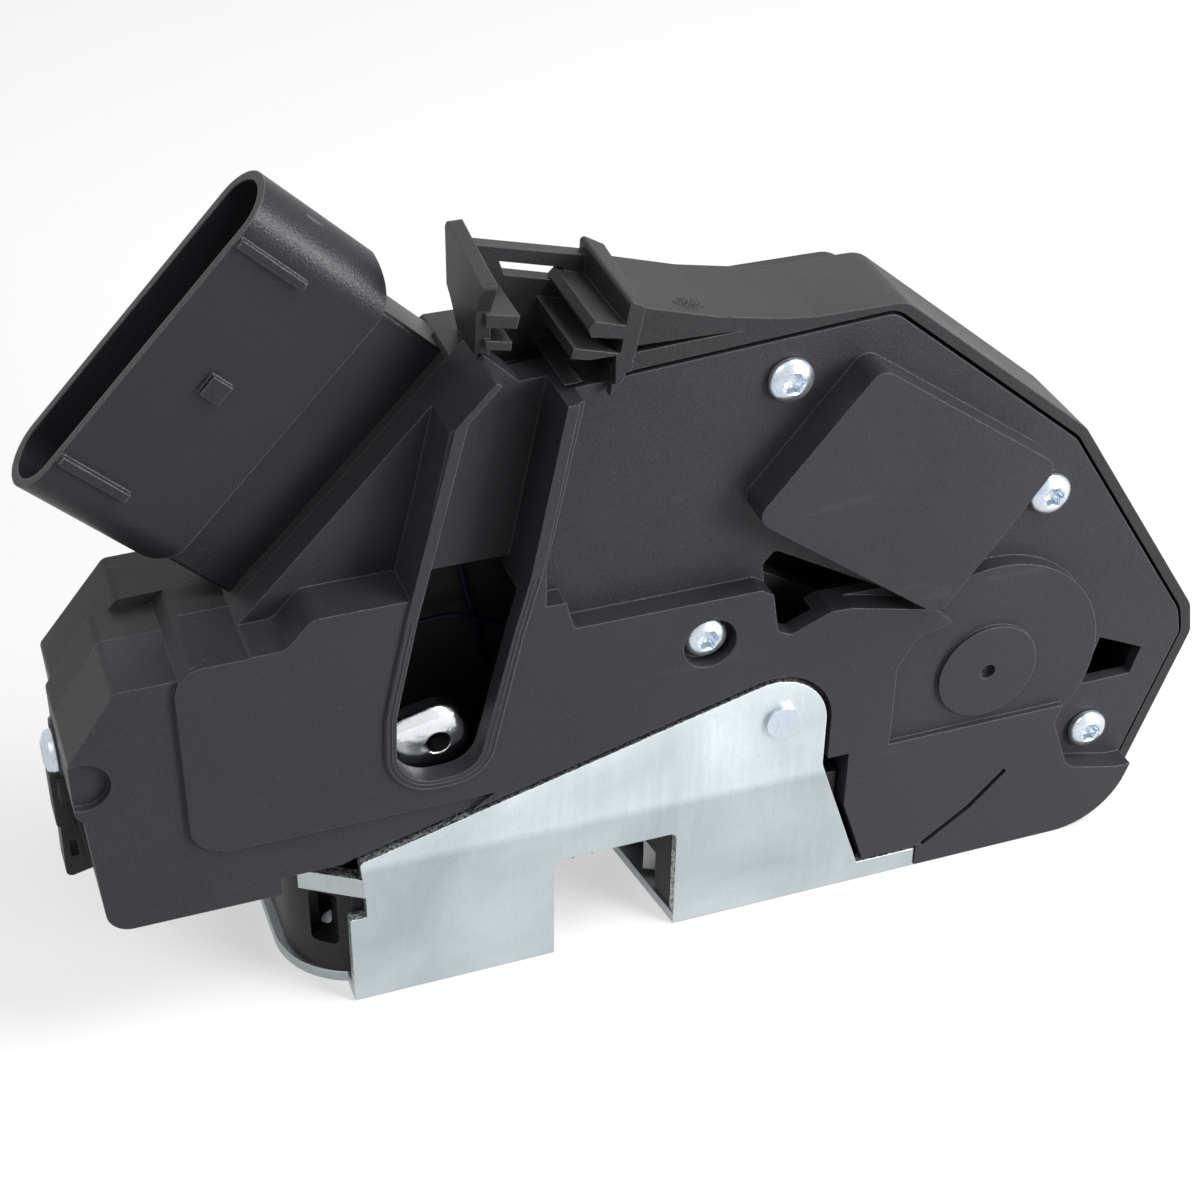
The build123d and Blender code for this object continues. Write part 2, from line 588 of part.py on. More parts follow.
def latch_moulding():
    """The latch's plastic block, before it is parted at the top of the claw's room."""
    inset = 1.5
    left = PLATE_LEFT + inset
    right = PLATE_RIGHT - inset
    back = PLATE_BACK - inset
    field = outline(
        (left, 4.0, 12.5), (left, back, 8), (39.5, back, 11), (right, 43.5, 5), (right, 23.0),
        (44.0, 23.0), (44.0, 4.0))
    front = outline((-41.0, STEEL + SEAT_GAP), (-41.0, 12.0), (44.0, 12.0),
                    (44.0, STEEL + SEAT_GAP))
    body = slab(field, STEEL, LATCH_TOP) + slab(front, STEEL, LATCH_TOP)
    body -= slab(mouth_face(SEAT_GAP), 0, NOTCH_HEIGHT + SEAT_GAP)

    sweep = Circle(CLAW_HOOK + 0.8) & outline(
        (6, 16), (-30, 25), (-40, 0), (-40, -30), (-20, -40), (16, -32))
    claw_room = Pos(*CLAW_PIVOT) * (sweep + Circle(CLAW_HUB + 0.8))
    body -= slab(claw_room, 0, CAVITY_TOP)
    pawl_room = outline((-31.0, 9.0, 3), (-31.0, 50.0, 5), (6.0, 50.0, 3), (6.0, 36.0),
                        (-5.8, 36.0), (-5.8, 22.0), (-9.2, 9.0, 2))
    body -= slab(pawl_room, 0, CAVITY_TOP)
    body -= slab(pin_slot(), CAVITY_TOP - 1, LATCH_TOP + 1)

    body -= post(CLAW_SPRING + 1.5, CLAW_PIVOT, CAVITY_TOP - 1, CLAW_SPRING_TOP)
    body -= post(PAWL_SPRING + 1.2, PAWL_PIVOT, CAVITY_TOP - 1, PAWL_SPRING_TOP)
    for place in MOUNT_HOLES:
        body -= post(COLLAR_RADIUS + SEAT_GAP, place, 0, COLLAR_TOP + SEAT_GAP)
        body -= post(MOUNT_BORE + 1.2, place, 0, LATCH_TOP + 1)
    body -= post(CLAW_PIN - 1, CLAW_PIVOT, 0, LATCH_TOP + 1)
    body -= post(PAWL_PIN - 1, PAWL_PIVOT, 0, LATCH_TOP + 1)
    body -= slab(bumper_face(), 12.0, NOTCH_HEIGHT)
    body -= prism(outline((-46.5, 8.0, 1), (-46.5, 19.0, 1), (-42.5, 19.0, 1), (-42.5, 8.0, 1)),
                  0, 12.0)
    body -= slab(outline((-52, 0), (-52, 9), (-36, 9), (-36, 0)), 21.5, LATCH_TOP + 1)
    return body


def latch_frame():
    """The lower half, whose walls stand round the claw and the pawl."""
    return latch_moulding() - slab(Rectangle(400, 400), CAVITY_TOP, LATCH_TOP + 1)


def latch_housing():
    """The upper half, the roof over the claw and the pawl."""
    return latch_moulding() - slab(Rectangle(400, 400), 0, CAVITY_TOP)


def pin_slot():
    """The slot in the roof that lets the pawl's post swing."""
    slot = Sketch()
    steps = 4
    for step in range(steps + 1):
        turn = PAWL_LIFT * step / steps
        slot += Pos(*PAWL_PIVOT) * Rot(0, 0, turn) * Pos(*PAWL_POST) * Circle(
            PAWL_POST_RADIUS + 0.6)
    return slot


def bumper_face():
    return outline((-2.0, 41.0), (-2.0, 47.5, 2), (9.1, 47.5, 2), (9.1, 41.0)) - disc(
        MOUTH_WIDTH / 2 + SEAT_GAP, (MOUTH_X, MOUTH_END))


def striker_bumper():
    return slab(bumper_face(), 12.0, NOTCH_HEIGHT)


def retainer_plate():
    body = slab(outline((-22.0, 18.0, 5), (-16.0, 27.6, 3), (-2.0, 28.6, 4), (18.0, 41.0, 6),
                        (36.0, 40.0, 6), (36.0, 26.0, 6), (20.0, 25.0, 3), (-8.0, 14.5, 6)),
                LATCH_TOP, LATCH_TOP + RETAINER)
    body -= post(CLAW_PIN - 1, CLAW_PIVOT, 20, 30)
    body -= post(PAWL_PIN - 1, PAWL_PIVOT, 20, 30)
    return body


def pivot_pin(radius, place):
    """Stepped rivet: a bearing length in the cavity and a spigot at each end."""
    top = LATCH_TOP + RETAINER
    body = post(radius - 1, place, 0.2, top + 0.5)
    body += post(radius, place, STEEL, CAVITY_TOP)
    body += post(radius + 0.5, place, top, top + 1.5)
    return body


def claw_pin():
    return pivot_pin(CLAW_PIN, CLAW_PIVOT)


def pawl_pin():
    return pivot_pin(PAWL_PIN, PAWL_PIVOT)


# Wheel train

def axis_plane(distance):
    """Plane square to the motor's axis at a distance from the motor's centre."""
    turn = math.radians(MOTOR_ANGLE)
    axis = Vector(math.cos(turn), 0, math.sin(turn))
    origin = Vector(MOTOR_CENTRE[0], MOTOR_AXIS_Y, MOTOR_CENTRE[1]) + axis * distance
    return Plane(origin=origin, x_dir=(0, 1, 0), z_dir=axis)


def worm_station():
    """Distance along the motor's axis to the point nearest the wheel's centre."""
    turn = math.radians(MOTOR_ANGLE)
    dx = WHEEL_CENTRE[0] - MOTOR_CENTRE[0]
    dz = WHEEL_CENTRE[1] - MOTOR_CENTRE[1]
    return dx * math.cos(turn) + dz * math.sin(turn)


def lock_motor():
    can = extrude(axis_plane(MOTOR_START) * RectangleRounded(MOTOR_THICKNESS, MOTOR_WIDTH, 7.5),
                  MOTOR_END - MOTOR_START)
    can += extrude(axis_plane(MOTOR_END) * Circle(4.0), 1.8)
    can += extrude(axis_plane(MOTOR_START) * Circle(5.0), -2.0)
    can -= extrude(axis_plane(0) * Circle(SHAFT_RADIUS + RUNNING_GAP), MOTOR_END + 4)
    return can


def motor_shaft():
    end = worm_station() + WORM_LENGTH / 2 + 3.8
    return extrude(axis_plane(0.5) * Circle(SHAFT_RADIUS), end - 0.5)


def worm():
    """Single start worm, its thread centred on the wheel's nearest gap."""
    middle = worm_station()
    pitch = math.pi * GEAR_MODULE
    core = extrude(axis_plane(middle - WORM_LENGTH / 2) * Circle(WORM_CORE), WORM_LENGTH)
    turns = 5
    path = axis_plane(middle - pitch * (turns - 2.25)) * Helix(pitch, pitch * (turns - 0.5),
                                                              WORM_CORE)
    start = Plane(origin=path @ 0, x_dir=(0, 1, 0), z_dir=path % 0)
    rise = WORM_TIP - WORM_CORE
    tooth = Polyline((-0.3, -0.86), (rise, -0.36), (rise, 0.36), (-0.3, 0.86), close=True)
    thread = sweep(start * make_face(tooth), path=path, is_frenet=True)
    body = core + thread
    return body - extrude(axis_plane(middle - WORM_LENGTH) * Circle(SHAFT_RADIUS),
                          2 * WORM_LENGTH)


def tooth_wheel(teeth, phase):
    """Spur outline whose straight flanks narrow towards the tips, one tooth at a phase."""
    pitch_radius = teeth * GEAR_MODULE / 2
    root = pitch_radius - 1.15 * GEAR_MODULE
    tip = pitch_radius + 0.9 * GEAR_MODULE
    half = 0.2 * math.pi * GEAR_MODULE
    face = Circle(root)
    tooth = outline((root - 0.3, -half - 0.45), (tip, -half + 0.32), (tip, half - 0.32),
                    (root - 0.3, half + 0.45))
    for index in range(teeth):
        face += Rot(0, 0, phase + 360 * index / teeth) * tooth
    return face


def worm_wheel():
    """The wheel that the worm turns, with the pinion on its back."""
    front = MOTOR_AXIS_Y - WHEEL_FACE / 2
    back = MOTOR_AXIS_Y + WHEEL_FACE / 2
    gap_at_worm = 90 + MOTOR_ANGLE + 180 / WHEEL_TEETH
    body = prism(Pos(*WHEEL_CENTRE) * tooth_wheel(WHEEL_TEETH, gap_at_worm), front, back)
    body -= prism(disc(13.5, WHEEL_CENTRE) - disc(6.5, WHEEL_CENTRE), front - 1, front + 2.0)
    pinion = Pos(*WHEEL_CENTRE) * tooth_wheel(PINION_TEETH, SECTOR_ANGLE)
    body += prism(pinion, back, back + PINION_FACE)
    return body - drum(AXLE_RADIUS + RUNNING_GAP, WHEEL_CENTRE, front - 1, back + PINION_FACE + 1)


def wheel_axle():
    return drum(AXLE_RADIUS, WHEEL_CENTRE, WHEEL_PAD + WALL + 0.1, HOUSING_BACK - WALL)


def sector_pivot():
    distance = (PINION_TEETH + SECTOR_TEETH) * GEAR_MODULE / 2
    offset_x, offset_z = polar(distance, SECTOR_ANGLE)
    return (WHEEL_CENTRE[0] + offset_x, WHEEL_CENTRE[1] + offset_z)


def arm_face(start, end, start_width, end_width):
    """Tapering arm between two places, with a round end at each."""
    dx = end[0] - start[0]
    dz = end[1] - start[1]
    length = math.hypot(dx, dz)
    nx, nz = -dz / length, dx / length
    bar = outline(
        (start[0] + nx * start_width, start[1] + nz * start_width),
        (start[0] - nx * start_width, start[1] - nz * start_width),
        (end[0] - nx * end_width, end[1] - nz * end_width),
        (end[0] + nx * end_width, end[1] + nz * end_width))
    return bar + disc(start_width, start) + disc(end_width, end)


def lock_lever():
    """Toothed sector that the pinion swings, with the arm that locks the levers."""
    pivot = sector_pivot()
    gap_at_pinion = SECTOR_ANGLE - 180 + 180 / SECTOR_TEETH
    wedge = outline((0, 0), polar(40, SECTOR_START), polar(40, (SECTOR_START + SECTOR_END) / 2),
                    polar(40, SECTOR_END))
    teeth = tooth_wheel(SECTOR_TEETH, gap_at_pinion) & wedge
    window = (Circle(15.5) - Circle(7.0)) & outline(
        (0, 0), polar(40, SECTOR_START + 14), polar(40, SECTOR_END - 14))
    face = Pos(*pivot) * (teeth - window) + arm_face(pivot, LOCK_ARM_END, 5.0, 3.5)
    face -= disc(AXLE_RADIUS + RUNNING_GAP, pivot)
    back = MOTOR_AXIS_Y + WHEEL_FACE / 2 + PINION_FACE
    body = prism(face, back - PINION_FACE + 0.2, back - 0.2)
    return body + drum(1.8, LOCK_ARM_END, back - PINION_FACE - 2.0, back - 1)


def lock_lever_pin():
    front = MOTOR_AXIS_Y + WHEEL_FACE / 2
    body = drum(AXLE_RADIUS, sector_pivot(), front, HOUSING_BACK - WALL)
    return body + drum(AXLE_RADIUS + 1.2, sector_pivot(), front - 1.4, front)


# Hand levers

def release_lever():
    """Cast lever with the rounded eye that the inside handle's cable hooks into."""
    back = RELEASE_FRONT + RELEASE_THICKNESS
    arm = prism(arm_face(RELEASE_PIVOT, RELEASE_EYE, RELEASE_HUB, EYE_RADIUS - 1.8),
                RELEASE_FRONT + 0.6, back)
    eye = drum(EYE_RADIUS, RELEASE_EYE, RELEASE_FRONT, back)
    eye = chamfer(eye.edges().filter_by(GeomType.CIRCLE), EYE_BEVEL)
    body = arm + eye
    body -= drum(LEVER_PIN + RUNNING_GAP, RELEASE_PIVOT, 0, back + 5)
    return body - drum(EYE_BORE, RELEASE_EYE, 0, back + 5)


def release_pin():
    return drum(LEVER_PIN, RELEASE_PIVOT, LEFT_FIELD + WALL + 0.1,
                RELEASE_FRONT + RELEASE_THICKNESS + 8.5)


def outside_lever():
    """Rear lever with a bore for the handle's rod and a toe that lifts the pawl's post."""
    face = arm_face(OUTSIDE_PIVOT, OUTSIDE_END, 6.5, 5.0)
    face += arm_face(OUTSIDE_PIVOT, OUTSIDE_TOE, 6.5, 3.0)
    face -= disc(LEVER_PIN + RUNNING_GAP, OUTSIDE_PIVOT)
    face -= disc(OUTSIDE_BORE, OUTSIDE_END)
    front = REAR_PANEL_BACK + SEAT_GAP
    return prism(face, front, front + OUTSIDE_THICKNESS)


def outside_pin():
    back = REAR_PANEL_BACK + SEAT_GAP + OUTSIDE_THICKNESS + 0.2
    body = drum(LEVER_PIN, OUTSIDE_PIVOT, HOUSING_BACK + 3.2, back)
    return body + drum(LEVER_PIN + 1.5, OUTSIDE_PIVOT, back, back + 1.4)


# Springs

def coil(plane, radius, wire, turns):
    """Close coiled spring of short straight lengths, with a longer leg at its start."""
    rise = wire * 1.2 / COIL_SIDES
    points = []
    for step in range(int(turns * COIL_SIDES) + 1):
        x, y = polar(radius, 360 * step / COIL_SIDES)
        points.append(plane.from_local_coords((x, y, rise * step)))
    path = Polyline(*points)
    section = Plane(origin=path @ 0, z_dir=path % 0) * RegularPolygon(wire / 2, 6)
    return sweep(section, path=path, transition=Transition.RIGHT) + extrude(section, -LEG_LENGTH)


def claw_spring():
    return coil(Plane(origin=(*CLAW_PIVOT, CAVITY_TOP + 1.0)), CLAW_SPRING, 1.4, 3.25)


def pawl_spring():
    return coil(Plane(origin=(*PAWL_PIVOT, CAVITY_TOP + 0.8)), PAWL_SPRING, 1.0, 2.75)


def release_spring():
    start = RELEASE_FRONT + RELEASE_THICKNESS + 1.2
    plane = Plane(origin=(RELEASE_PIVOT[0], start, RELEASE_PIVOT[1]), x_dir=(1, 0, 0),
                  z_dir=(0, 1, 0))
    return coil(plane, 5.6, 0.8, 4)


def outside_spring():
    start = REAR_PANEL_BACK + SEAT_GAP + OUTSIDE_THICKNESS + 0.7
    plane = Plane(origin=(OUTSIDE_PIVOT[0], start, OUTSIDE_PIVOT[1]), x_dir=(1, 0, 0),
                  z_dir=(0, 1, 0))
    return coil(plane, 5.4, 0.8, 2.5)


# Switch

def plunger_box(clearance, bottom, top):
    middle = SWITCH_LEFT + SWITCH_WIDTH * 0.35
    half_width = PLUNGER_WIDTH / 2 + clearance
    half_depth = PLUNGER_DEPTH / 2 + clearance
    depth = (SWITCH_FRONT + HOUSING_BACK - WALL) / 2
    return Pos(middle, depth, (bottom + top) / 2) * Box(2 * half_width, 2 * half_depth,
                                                        top - bottom)


def lock_switch():
    face = outline((SWITCH_LEFT, SWITCH_BOTTOM), (SWITCH_LEFT, SWITCH_BOTTOM + SWITCH_HEIGHT, 0.6),
                   (SWITCH_LEFT + SWITCH_WIDTH, SWITCH_BOTTOM + SWITCH_HEIGHT, 0.6),
                   (SWITCH_LEFT + SWITCH_WIDTH, SWITCH_BOTTOM))
    body = prism(face, SWITCH_FRONT, HOUSING_BACK - WALL)
    top = SWITCH_BOTTOM + SWITCH_HEIGHT
    body -= plunger_box(RUNNING_GAP, top - 4.0, top + 1)
    for share in (0.15, 0.5, 0.85):
        place = Pos(SWITCH_LEFT + SWITCH_WIDTH * share, (SWITCH_FRONT + HOUSING_BACK - WALL) / 2,
                    SWITCH_BOTTOM - 1.2)
        body += place * Box(0.6, 2.6, 2.6)
    return body


def switch_plunger():
    top = SWITCH_BOTTOM + SWITCH_HEIGHT
    return plunger_box(0, top - 2.6, top + PLUNGER_RISE)


# Fasteners

def pan_screw():
    """Screw along plus Y, with the underside of its bevelled head at Y 0."""
    head = drum(SCREW_HEAD, (0, 0), -SCREW_HEAD_HEIGHT, 0)
    head = chamfer(head.faces().sort_by(Axis.Y)[0].edges(), 1.1)
    return head + drum(SCREW_SHANK, (0, 0), 0, SCREW_REACH - PANEL_FIELD)


def cover_screws():
    return Compound(children=[Pos(x, seat, z) * pan_screw() for x, z, seat in SCREWS])


def side_screw():
    place = Pos(LEFT_SIDE - 0.1, (SPLIT + HOUSING_BACK) / 2, SIDE_SCREW_Z) * Rot(0, 0, -90)
    return place * pan_screw()


def flange_rivet():
    back = STEEL + SEAT_GAP + WALL
    body = drum(RIVET_RADIUS, FLANGE_RIVET, -0.5, back + 0.5)
    body += drum(RIVET_HEAD, FLANGE_RIVET, -0.9, 0)
    return body + drum(RIVET_HEAD, FLANGE_RIVET, back, back + 0.9)


SUB_PARTS = [
    front_cover, main_housing, rear_cover, connector_shroud, terminal_pins, back_plate,
    latch_frame, latch_housing, retainer_plate, claw, claw_pin, claw_spring, pawl, pawl_pin,
    pawl_spring, striker_bumper, flange_rivet, lock_motor, motor_shaft, worm, worm_wheel, wheel_axle,
    lock_lever, lock_lever_pin, release_lever, release_pin, release_spring, outside_lever,
    outside_pin, outside_spring, lock_switch, switch_plunger, cover_screws, side_screw]

for make in SUB_PARTS:
    save(make.__name__, make())
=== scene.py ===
import json

import bpy
import numpy as np
from mathutils import Matrix


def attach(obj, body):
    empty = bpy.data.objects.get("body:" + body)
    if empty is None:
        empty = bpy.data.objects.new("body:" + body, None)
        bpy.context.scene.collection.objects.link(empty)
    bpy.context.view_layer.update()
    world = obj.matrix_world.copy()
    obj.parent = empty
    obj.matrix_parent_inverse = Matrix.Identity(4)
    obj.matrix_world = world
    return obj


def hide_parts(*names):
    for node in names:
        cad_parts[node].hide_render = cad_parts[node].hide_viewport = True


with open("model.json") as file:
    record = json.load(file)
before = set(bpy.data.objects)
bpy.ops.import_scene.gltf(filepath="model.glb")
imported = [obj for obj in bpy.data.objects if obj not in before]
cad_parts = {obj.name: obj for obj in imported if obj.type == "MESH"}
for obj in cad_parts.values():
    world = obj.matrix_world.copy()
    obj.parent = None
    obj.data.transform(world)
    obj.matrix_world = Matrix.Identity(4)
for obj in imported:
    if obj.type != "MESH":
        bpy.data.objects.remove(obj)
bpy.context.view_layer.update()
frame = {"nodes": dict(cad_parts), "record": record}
nodes = frame["nodes"]
mm = 0.001


# camera, light and floor come first
view = {
    "turn": 20.5,            # degrees, camera to the left of straight ahead
    "height": 35.5,          # degrees above the horizon
    "roll": 1.0,             # degrees
    "eye": (-102.95, -300.7, 273.6),   # mm
    "lens": 69.0,            # mm
    "sensor": 36.0,          # mm
    "clip": (0.01, 10.0),    # m
}


def rayFrame(turn, height, roll):
    # right, up and back vectors of a camera that looks down by height and is turned by turn
    a, e, r = np.radians([turn, height, roll])
    right = np.array([np.cos(a), -np.sin(a), 0.0])
    up = np.array([np.sin(a) * np.sin(e), np.cos(a) * np.sin(e), np.cos(e)])
    back = np.cross(right, up)
    return np.cos(r) * right + np.sin(r) * up, np.cos(r) * up - np.sin(r) * right, back


def placed(axes, place):
    # 4 by 4 matrix from three column vectors and a place
    table = np.eye(4)
    table[:3, :3] = np.array(axes).T
    table[:3, 3] = place
    return Matrix([list(row) for row in table])


def makeCamera():
    # the photograph's own point of view
    data = bpy.data.cameras.new("camera")
    data.lens = view["lens"]
    data.sensor_width = view["sensor"]
    data.clip_start, data.clip_end = view["clip"]
    camera = bpy.data.objects.new("camera", data)
    bpy.context.scene.collection.objects.link(camera)
    axes = rayFrame(view["turn"], view["height"], view["roll"])
    camera.matrix_world = placed(axes, np.array(view["eye"]) * mm)
    bpy.context.scene.camera = camera


def feed(links, socket, value):
    # another node's output is linked, a number or a colour is typed in
    if hasattr(value, "is_linked"):
        links.new(value, socket)
    elif isinstance(value, tuple):
        socket.default_value = (*value, 1)
    else:
        socket.default_value = value


def combined(made, links, operation, *values):
    # one sum on up to three values
    node = made.new("ShaderNodeMath")
    node.operation = operation
    for socket, value in zip(node.inputs, values):
        feed(links, socket, value)
    return node.outputs[0]


studio = {
    "worldLevel": 0.30,      # grey level that lights the part from everywhere
    "lamps": [               # place m, size m, watts
        ((-0.55, -0.35, 0.75), 0.45, 2.4),
        ((0.45, -0.30, 0.85), 0.45, 9.0),
        ((0.35, 0.75, 0.70), 0.50, 1.5),
        ((0.42, -0.46, 0.20), 0.25, 4.6),
    ],
    "aim": (0.0, 0.0, 0.05),           # m, what all lamps look at
    "floorSide": 3.0,        # m from the middle to each edge
    "floorGap": 0.0002,      # m under the part
    "floorPaper": (0.8, 0.8, 0.8),
    "floorLevel": 0.55,      # share of the floor's white that no shadow touches
    "white": (1.0, 1.0, 1.0),
}


def seenDirectly(made, links):
    # 1 for a ray that shows the background: from the camera, off a mirror or through glass
    rays = made.new("ShaderNodeLightPath")
    share = rays.outputs["Is Camera Ray"]
    for kind in ("Is Glossy Ray", "Is Transmission Ray"):
        share = combined(made, links, "MAXIMUM", share, rays.outputs[kind])
    return share


def makeLight():
    # plain grey world that shows as white, and four square soft lamps
    world = bpy.data.worlds.new("studio")
    bpy.context.scene.world = world
    world.use_nodes = True
    links, made = world.node_tree.links, world.node_tree.nodes
    made.clear()
    lit, seen = made.new("ShaderNodeBackground"), made.new("ShaderNodeBackground")
    feed(links, lit.inputs["Color"], studio["white"])
    feed(links, lit.inputs["Strength"], studio["worldLevel"])
    feed(links, seen.inputs["Color"], studio["white"])
    mix, out = made.new("ShaderNodeMixShader"), made.new("ShaderNodeOutputWorld")
    links.new(seenDirectly(made, links), mix.inputs[0])
    links.new(lit.outputs[0], mix.inputs[1])
    links.new(seen.outputs[0], mix.inputs[2])
    links.new(mix.outputs[0], out.inputs["Surface"])
    for index, (place, size, watts) in enumerate(studio["lamps"]):
        data = bpy.data.lights.new(f"softbox{index}", "AREA")
        data.shape, data.size, data.energy = "SQUARE", size, watts
        lamp = bpy.data.objects.new(f"softbox{index}", data)
        bpy.context.scene.collection.objects.link(lamp)
        back = np.array(place) - np.array(studio["aim"])
        back /= np.linalg.norm(back)
        right = np.cross([0.0, 0.0, 1.0], back)
        right /= np.linalg.norm(right)
        lamp.matrix_world = placed((right, np.cross(back, right), back), place)


def makeFloor():
    # pale square sheet, part paper that takes the shadow and part even glow
    side, level = studio["floorSide"], -studio["floorGap"]
    mesh = bpy.data.meshes.new("floor")
    mesh.from_pydata([(-side, -side, level), (side, -side, level), (side, side, level),
                      (-side, side, level)], [], [(0, 1, 2, 3)])
    floor = bpy.data.objects.new("floor", mesh)
    bpy.context.scene.collection.objects.link(floor)
    paint = bpy.data.materials.new("floorPaper")
    paint.use_nodes = True
    links, made = paint.node_tree.links, paint.node_tree.nodes
    made.clear()
    paper, glow = made.new("ShaderNodeBsdfDiffuse"), made.new("ShaderNodeEmission")
    feed(links, paper.inputs["Color"], studio["floorPaper"])
    feed(links, glow.inputs["Color"], studio["white"])
    links.new(seenDirectly(made, links), glow.inputs["Strength"])
    both, out = made.new("ShaderNodeMixShader"), made.new("ShaderNodeOutputMaterial")
    both.inputs[0].default_value = studio["floorLevel"]
    links.new(paper.outputs[0], both.inputs[1])
    links.new(glow.outputs[0], both.inputs[2])
    links.new(both.outputs[0], out.inputs["Surface"])
    mesh.materials.append(paint)


makeCamera()
makeLight()
makeFloor()
bpy.context.scene.view_settings.view_transform = "Standard"
print("studio ready")


# finishes, one for each material slot of the record
def newFinish(name, colour, roughness, metallic=0.0):
    # plain shader that the finishes below build on
    paint = bpy.data.materials.new(name)
    paint.use_nodes = True
    paint.diffuse_color = (*colour, 1)
    shader = paint.node_tree.nodes["Principled BSDF"]
    shader.inputs["Base Color"].default_value = (*colour, 1)
    shader.inputs["Roughness"].default_value = roughness
    shader.inputs["Metallic"].default_value = metallic
    return paint, paint.node_tree.nodes, paint.node_tree.links, shader


def noiseOn(made, links, scale, detail=3.0, stretch=(1, 1, 1), distortion=0.0):
    # noise on the piece's own coordinates, in patterns per metre
    where = made.new("ShaderNodeTexCoord")
    mapping = made.new("ShaderNodeMapping")
    mapping.inputs["Scale"].default_value = stretch
    noise = made.new("ShaderNodeTexNoise")
    noise.inputs["Scale"].default_value = scale
    noise.inputs["Detail"].default_value = detail
    noise.inputs["Distortion"].default_value = distortion
    links.new(where.outputs["Object"], mapping.inputs["Vector"])
    links.new(mapping.outputs["Vector"], noise.inputs["Vector"])
    return noise.outputs["Fac"]


def spread(made, links, value, fromLow, fromHigh, toLow=0, toHigh=1):
    # straight line from one range of values to another, clamped at its ends
    node = made.new("ShaderNodeMapRange")
    for socket, number in zip(("From Min", "From Max", "To Min", "To Max"),
                              (fromLow, fromHigh, toLow, toHigh)):
        node.inputs[socket].default_value = number
    links.new(value, node.inputs["Value"])
    return node.outputs["Result"]


def blendColour(made, links, share, first, second, blend="MIX"):
    # from the first colour to the second; sockets 6 and 7 in and 2 out are the colour ones
    node = made.new("ShaderNodeMix")
    node.data_type, node.blend_type = "RGBA", blend
    feed(links, node.inputs["Factor"], share)
    feed(links, node.inputs[6], first)
    feed(links, node.inputs[7], second)
    return node.outputs[2]


def toned(colour, factor, most=np.inf):
    # the same colour, so many times as bright, and at most so bright
    return tuple(min(most, factor * part) for part in colour)


def softEdge(made, radius):
    # normal that turns gently round every edge
    edge = made.new("ShaderNodeBevel")
    edge.samples = 4
    edge.inputs["Radius"].default_value = radius
    return edge.outputs["Normal"]


def edgeShare(made, links, soft, start, end):
    # rises from 0 to 1 where the gentle normal leaves the face's own one
    face, dot = made.new("ShaderNodeNewGeometry"), made.new("ShaderNodeVectorMath")
    dot.operation = "DOT_PRODUCT"
    links.new(soft, dot.inputs[0])
    links.new(face.outputs["Normal"], dot.inputs[1])
    return spread(made, links, dot.outputs["Value"], start, end)


def bumped(made, links, normal, heights):
    # each (height, distance) pair as a bump on top of the last
    for height, distance in heights:
        bump = made.new("ShaderNodeBump")
        bump.inputs["Strength"].default_value = 1.0
        bump.inputs["Distance"].default_value = distance
        links.new(height, bump.inputs["Height"])
        links.new(normal, bump.inputs["Normal"])
        normal = bump.outputs["Normal"]
    return normal


plastic = {                  # scales are in patterns per metre, ranges in noise values
    "sparkScale": 3400,
    "sparkRange": (0.35, 0.65),
    "sparkShare": 0.45,
    "sparkTone": 1.7,        # against the paler colour
    "cloudScale": 26,
    "cloudRange": (0.35, 0.68),
    "cloudRise": 0.0001,     # m
    "dustScale": 1500,
    "dustRange": (0.70, 0.78),
    "dustShare": 0.6,
    "dustTone": 2.6,         # against the paler colour
    "lineScale": 420,
    "lineStretch": (0.10, 1, 0.45),
    "lineWander": 0.8,
    "lineRange": (0.70, 0.74),
    "highlightBreakup": (0.35, 1.0),   # how far the spark grain breaks up the painted edge highlights
    "edgeRange": (0.985, 0.86),
    "shineRange": (0.3, 0.7),
    "shine": (-0.05, 0.07),  # change of roughness over the clouds
}


def mouldedPlastic(name, colour, paler, roughness, grain, edge=0.0003, gloss=0.28, scratchAndHighlightTone=0.10,
                   scratched=0.25):
    # charcoal moulding: spark grain, cloudy tone, dust, fine scratches, and painted highlights
    # along the edges
    paint, made, links, shader = newFinish(name, colour, roughness)
    shader.inputs["Specular IOR Level"].default_value = gloss
    # pale colour shared by the real scratches and the painted edge highlights
    scratchAndHighlightColour = (scratchAndHighlightTone, scratchAndHighlightTone, 1.06 * scratchAndHighlightTone)
    fine = noiseOn(made, links, plastic["sparkScale"], 3.0)
    cloud = noiseOn(made, links, plastic["cloudScale"], 4.0)
    dust = noiseOn(made, links, plastic["dustScale"], 2.0)
    lines = noiseOn(made, links, plastic["lineScale"], 2.0, plastic["lineStretch"],
                    plastic["lineWander"])
    tone = blendColour(made, links, spread(made, links, cloud, *plastic["cloudRange"]), colour,
                       paler)
    for noise, kind, share, over in (
            (fine, "sparkRange", plastic["sparkShare"], toned(paler, plastic["sparkTone"])),
            (dust, "dustRange", plastic["dustShare"], toned(paler, plastic["dustTone"])),
            (lines, "lineRange", scratched, scratchAndHighlightColour)):
        tone = blendColour(made, links, spread(made, links, noise, *plastic[kind], 0, share),
                           tone, over)
    soft = softEdge(made, edge)
    # painted highlight: every edge is lightened to the scratches' pale colour, broken up by the
    # spark grain
    highlightBreakup = spread(made, links, fine, *plastic["sparkRange"], *plastic["highlightBreakup"])
    edgeHighlight = combined(made, links, "MULTIPLY",
                     edgeShare(made, links, soft, *plastic["edgeRange"]), highlightBreakup)
    tone = blendColour(made, links, edgeHighlight, tone, scratchAndHighlightColour)
    links.new(tone, shader.inputs["Base Color"])
    smoother, rougher = plastic["shine"]
    links.new(spread(made, links, cloud, *plastic["shineRange"], roughness + smoother,
                     roughness + rougher), shader.inputs["Roughness"])
    links.new(bumped(made, links, soft, [(fine, grain), (cloud, plastic["cloudRise"])]),
              shader.inputs["Normal"])
    return paint


